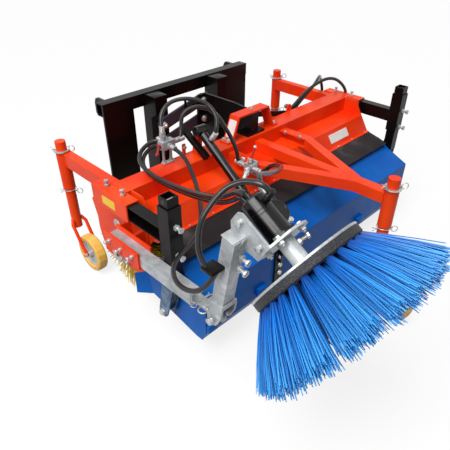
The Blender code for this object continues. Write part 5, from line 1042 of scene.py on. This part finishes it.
def bare_plate(name, centre, along, outwards, length, width, finish):
    """A thin plate with rounded corners lying on a surface."""
    along, outwards = Vector(along).normalized(), Vector(outwards).normalized()
    turn = Matrix((along, outwards.cross(along).normalized(), outwards)).transposed().to_4x4()
    deselect()
    bpy.ops.mesh.primitive_plane_add(size=1.0, location=(0.0, 0.0, -PLATE_THICKNESS / 2))
    piece = named(bpy.context.active_object, name)
    piece.scale = (length, width, 1.0)
    apply_place()
    edit_all()
    bpy.ops.mesh.bevel(offset=PLATE_CORNER, segments=4, affect="VERTICES")
    bpy.ops.mesh.select_all(action="SELECT")
    bpy.ops.mesh.extrude_region_move(TRANSFORM_OT_translate={"value": (0.0, 0.0, PLATE_THICKNESS)})
    leave()
    outward(piece)
    settle(smooth(piece), Matrix.Translation(at(*centre)) @ turn)
    return dress(piece, "machine", finish)


STRAP_FOOT = Vector((-0.155, 0.0, 0.64))
STRAP_TOP = Vector((-0.112, 0.0, 0.75))
strap_up = (STRAP_TOP - STRAP_FOOT).normalized()
strap_out = Vector((-strap_up.z, 0.0, strap_up.x))
strap_face = Vector((-0.1335, 0.062, 0.695)) + strap_out * 0.0084
bare_plate("front_plate", (0.503, -0.1382, 0.527), (1, 0, 0), (0, -0.838, 0.546), 0.168, 0.048, pale_coating)
bare_plate("sleeve_plate", (-0.8464, 0.058, 0.595), (0, -1, 0), (-1, 0, 0), 0.09, 0.038, yellow_coating)
bare_plate("strap_plate", strap_face, strap_up, strap_out, 0.086, 0.046, pale_coating)

for master in masters.values():
    bpy.data.objects.remove(master, do_unlink=True)


# Floor, background and light
FLOOR_SIZE = 80.0
FLOOR_UNSEEN = (0.15, 0.15, 0.16, 1.0)
FLOOR_SEEN = (0.93, 0.93, 0.93, 1.0)
FLOOR_GLOW_SHARE = 0.80
SOFT_LEVEL = 0.26
SKY_LEVEL = 2.5
SKY_ANGLE = math.radians(35.0)
SKY_AIM = (0.42, 0.08, -0.90)


def arithmetic(tree, operation, first, second):
    made = tree.nodes.new("ShaderNodeMath")
    made.operation = operation
    give(tree, made.inputs[0], first)
    give(tree, made.inputs[1], second)
    return made.outputs[0]


def shader_mix(tree, share, first, second, output):
    """Mixes two shaders by a share into the tree's output."""
    made = tree.nodes.new("ShaderNodeMixShader")
    for socket, value in zip(made.inputs, (share, first.outputs[0], second.outputs[0])):
        tree.links.new(value, socket)
    tree.links.new(made.outputs[0], tree.nodes[output].inputs[0])


def background_rays(tree):
    """One where a ray comes from the camera, a gloss or glass, and so shows the white studio."""
    ray = tree.nodes.new("ShaderNodeLightPath")
    shown = ray.outputs["Is Camera Ray"]
    for kind in ("Is Glossy Ray", "Is Transmission Ray"):
        shown = arithmetic(tree, "MAXIMUM", shown, ray.outputs[kind])
    return shown


deselect()
bpy.ops.mesh.primitive_plane_add(size=FLOOR_SIZE, location=(0.0, 0.0, 0.0))
floor = named(bpy.context.active_object, "floor")
floor_finish = bpy.data.materials.new("pale_floor")
floor_finish.use_nodes = True
floor_tree = floor_finish.node_tree
floor_shader = floor_tree.nodes["Principled BSDF"]
floor_shader.inputs["Roughness"].default_value = 0.9
floor_shader.inputs["Specular IOR Level"].default_value = 0.0
glow = floor_tree.nodes.new("ShaderNodeEmission")
glow.inputs["Strength"].default_value = 1.0
floor_shown = background_rays(floor_tree)
floor_tone = mixed(floor_tree, floor_shown, FLOOR_UNSEEN, FLOOR_SEEN)
floor_tree.links.new(floor_tone, floor_shader.inputs["Base Color"])
glow_share = arithmetic(floor_tree, "MULTIPLY", floor_shown, FLOOR_GLOW_SHARE)
shader_mix(floor_tree, glow_share, floor_shader, glow, "Material Output")
floor.data.materials.append(floor_finish)

world = bpy.data.worlds.new("studio")
bpy.context.scene.world = world
world.use_nodes = True
world_tree = world.node_tree
soft = world_tree.nodes["Background"]
soft.inputs["Color"].default_value = WHITE
soft.inputs["Strength"].default_value = SOFT_LEVEL
seen = world_tree.nodes.new("ShaderNodeBackground")
seen.inputs["Color"].default_value = WHITE
seen.inputs["Strength"].default_value = 1.0
shader_mix(world_tree, background_rays(world_tree), soft, seen, "World Output")


def lamp(name, data, aim, place=(0.0, 0.0, 0.0)):
    """Hangs a lamp at a place, turned along its aim."""
    light = bpy.data.objects.new(name, data)
    bpy.context.scene.collection.objects.link(light)
    light.location = place
    light.rotation_euler = Vector(aim).to_track_quat("-Z", "Y").to_euler()


SOFTBOX_PLACE = Vector((-3.2, -0.6, 2.9))
SOFTBOX_TARGET = Vector((0.0, -0.1, 0.5))
softbox = bpy.data.lights.new("left_softbox", "AREA")
softbox.size = 1.6
softbox.energy = 60.0
lamp("left_softbox", softbox, SOFTBOX_TARGET - SOFTBOX_PLACE, SOFTBOX_PLACE)
skylight = bpy.data.lights.new("skylight", "SUN")
skylight.energy = SKY_LEVEL
skylight.angle = SKY_ANGLE
lamp("skylight", skylight, SKY_AIM)
bpy.context.scene.view_settings.view_transform = "Standard"
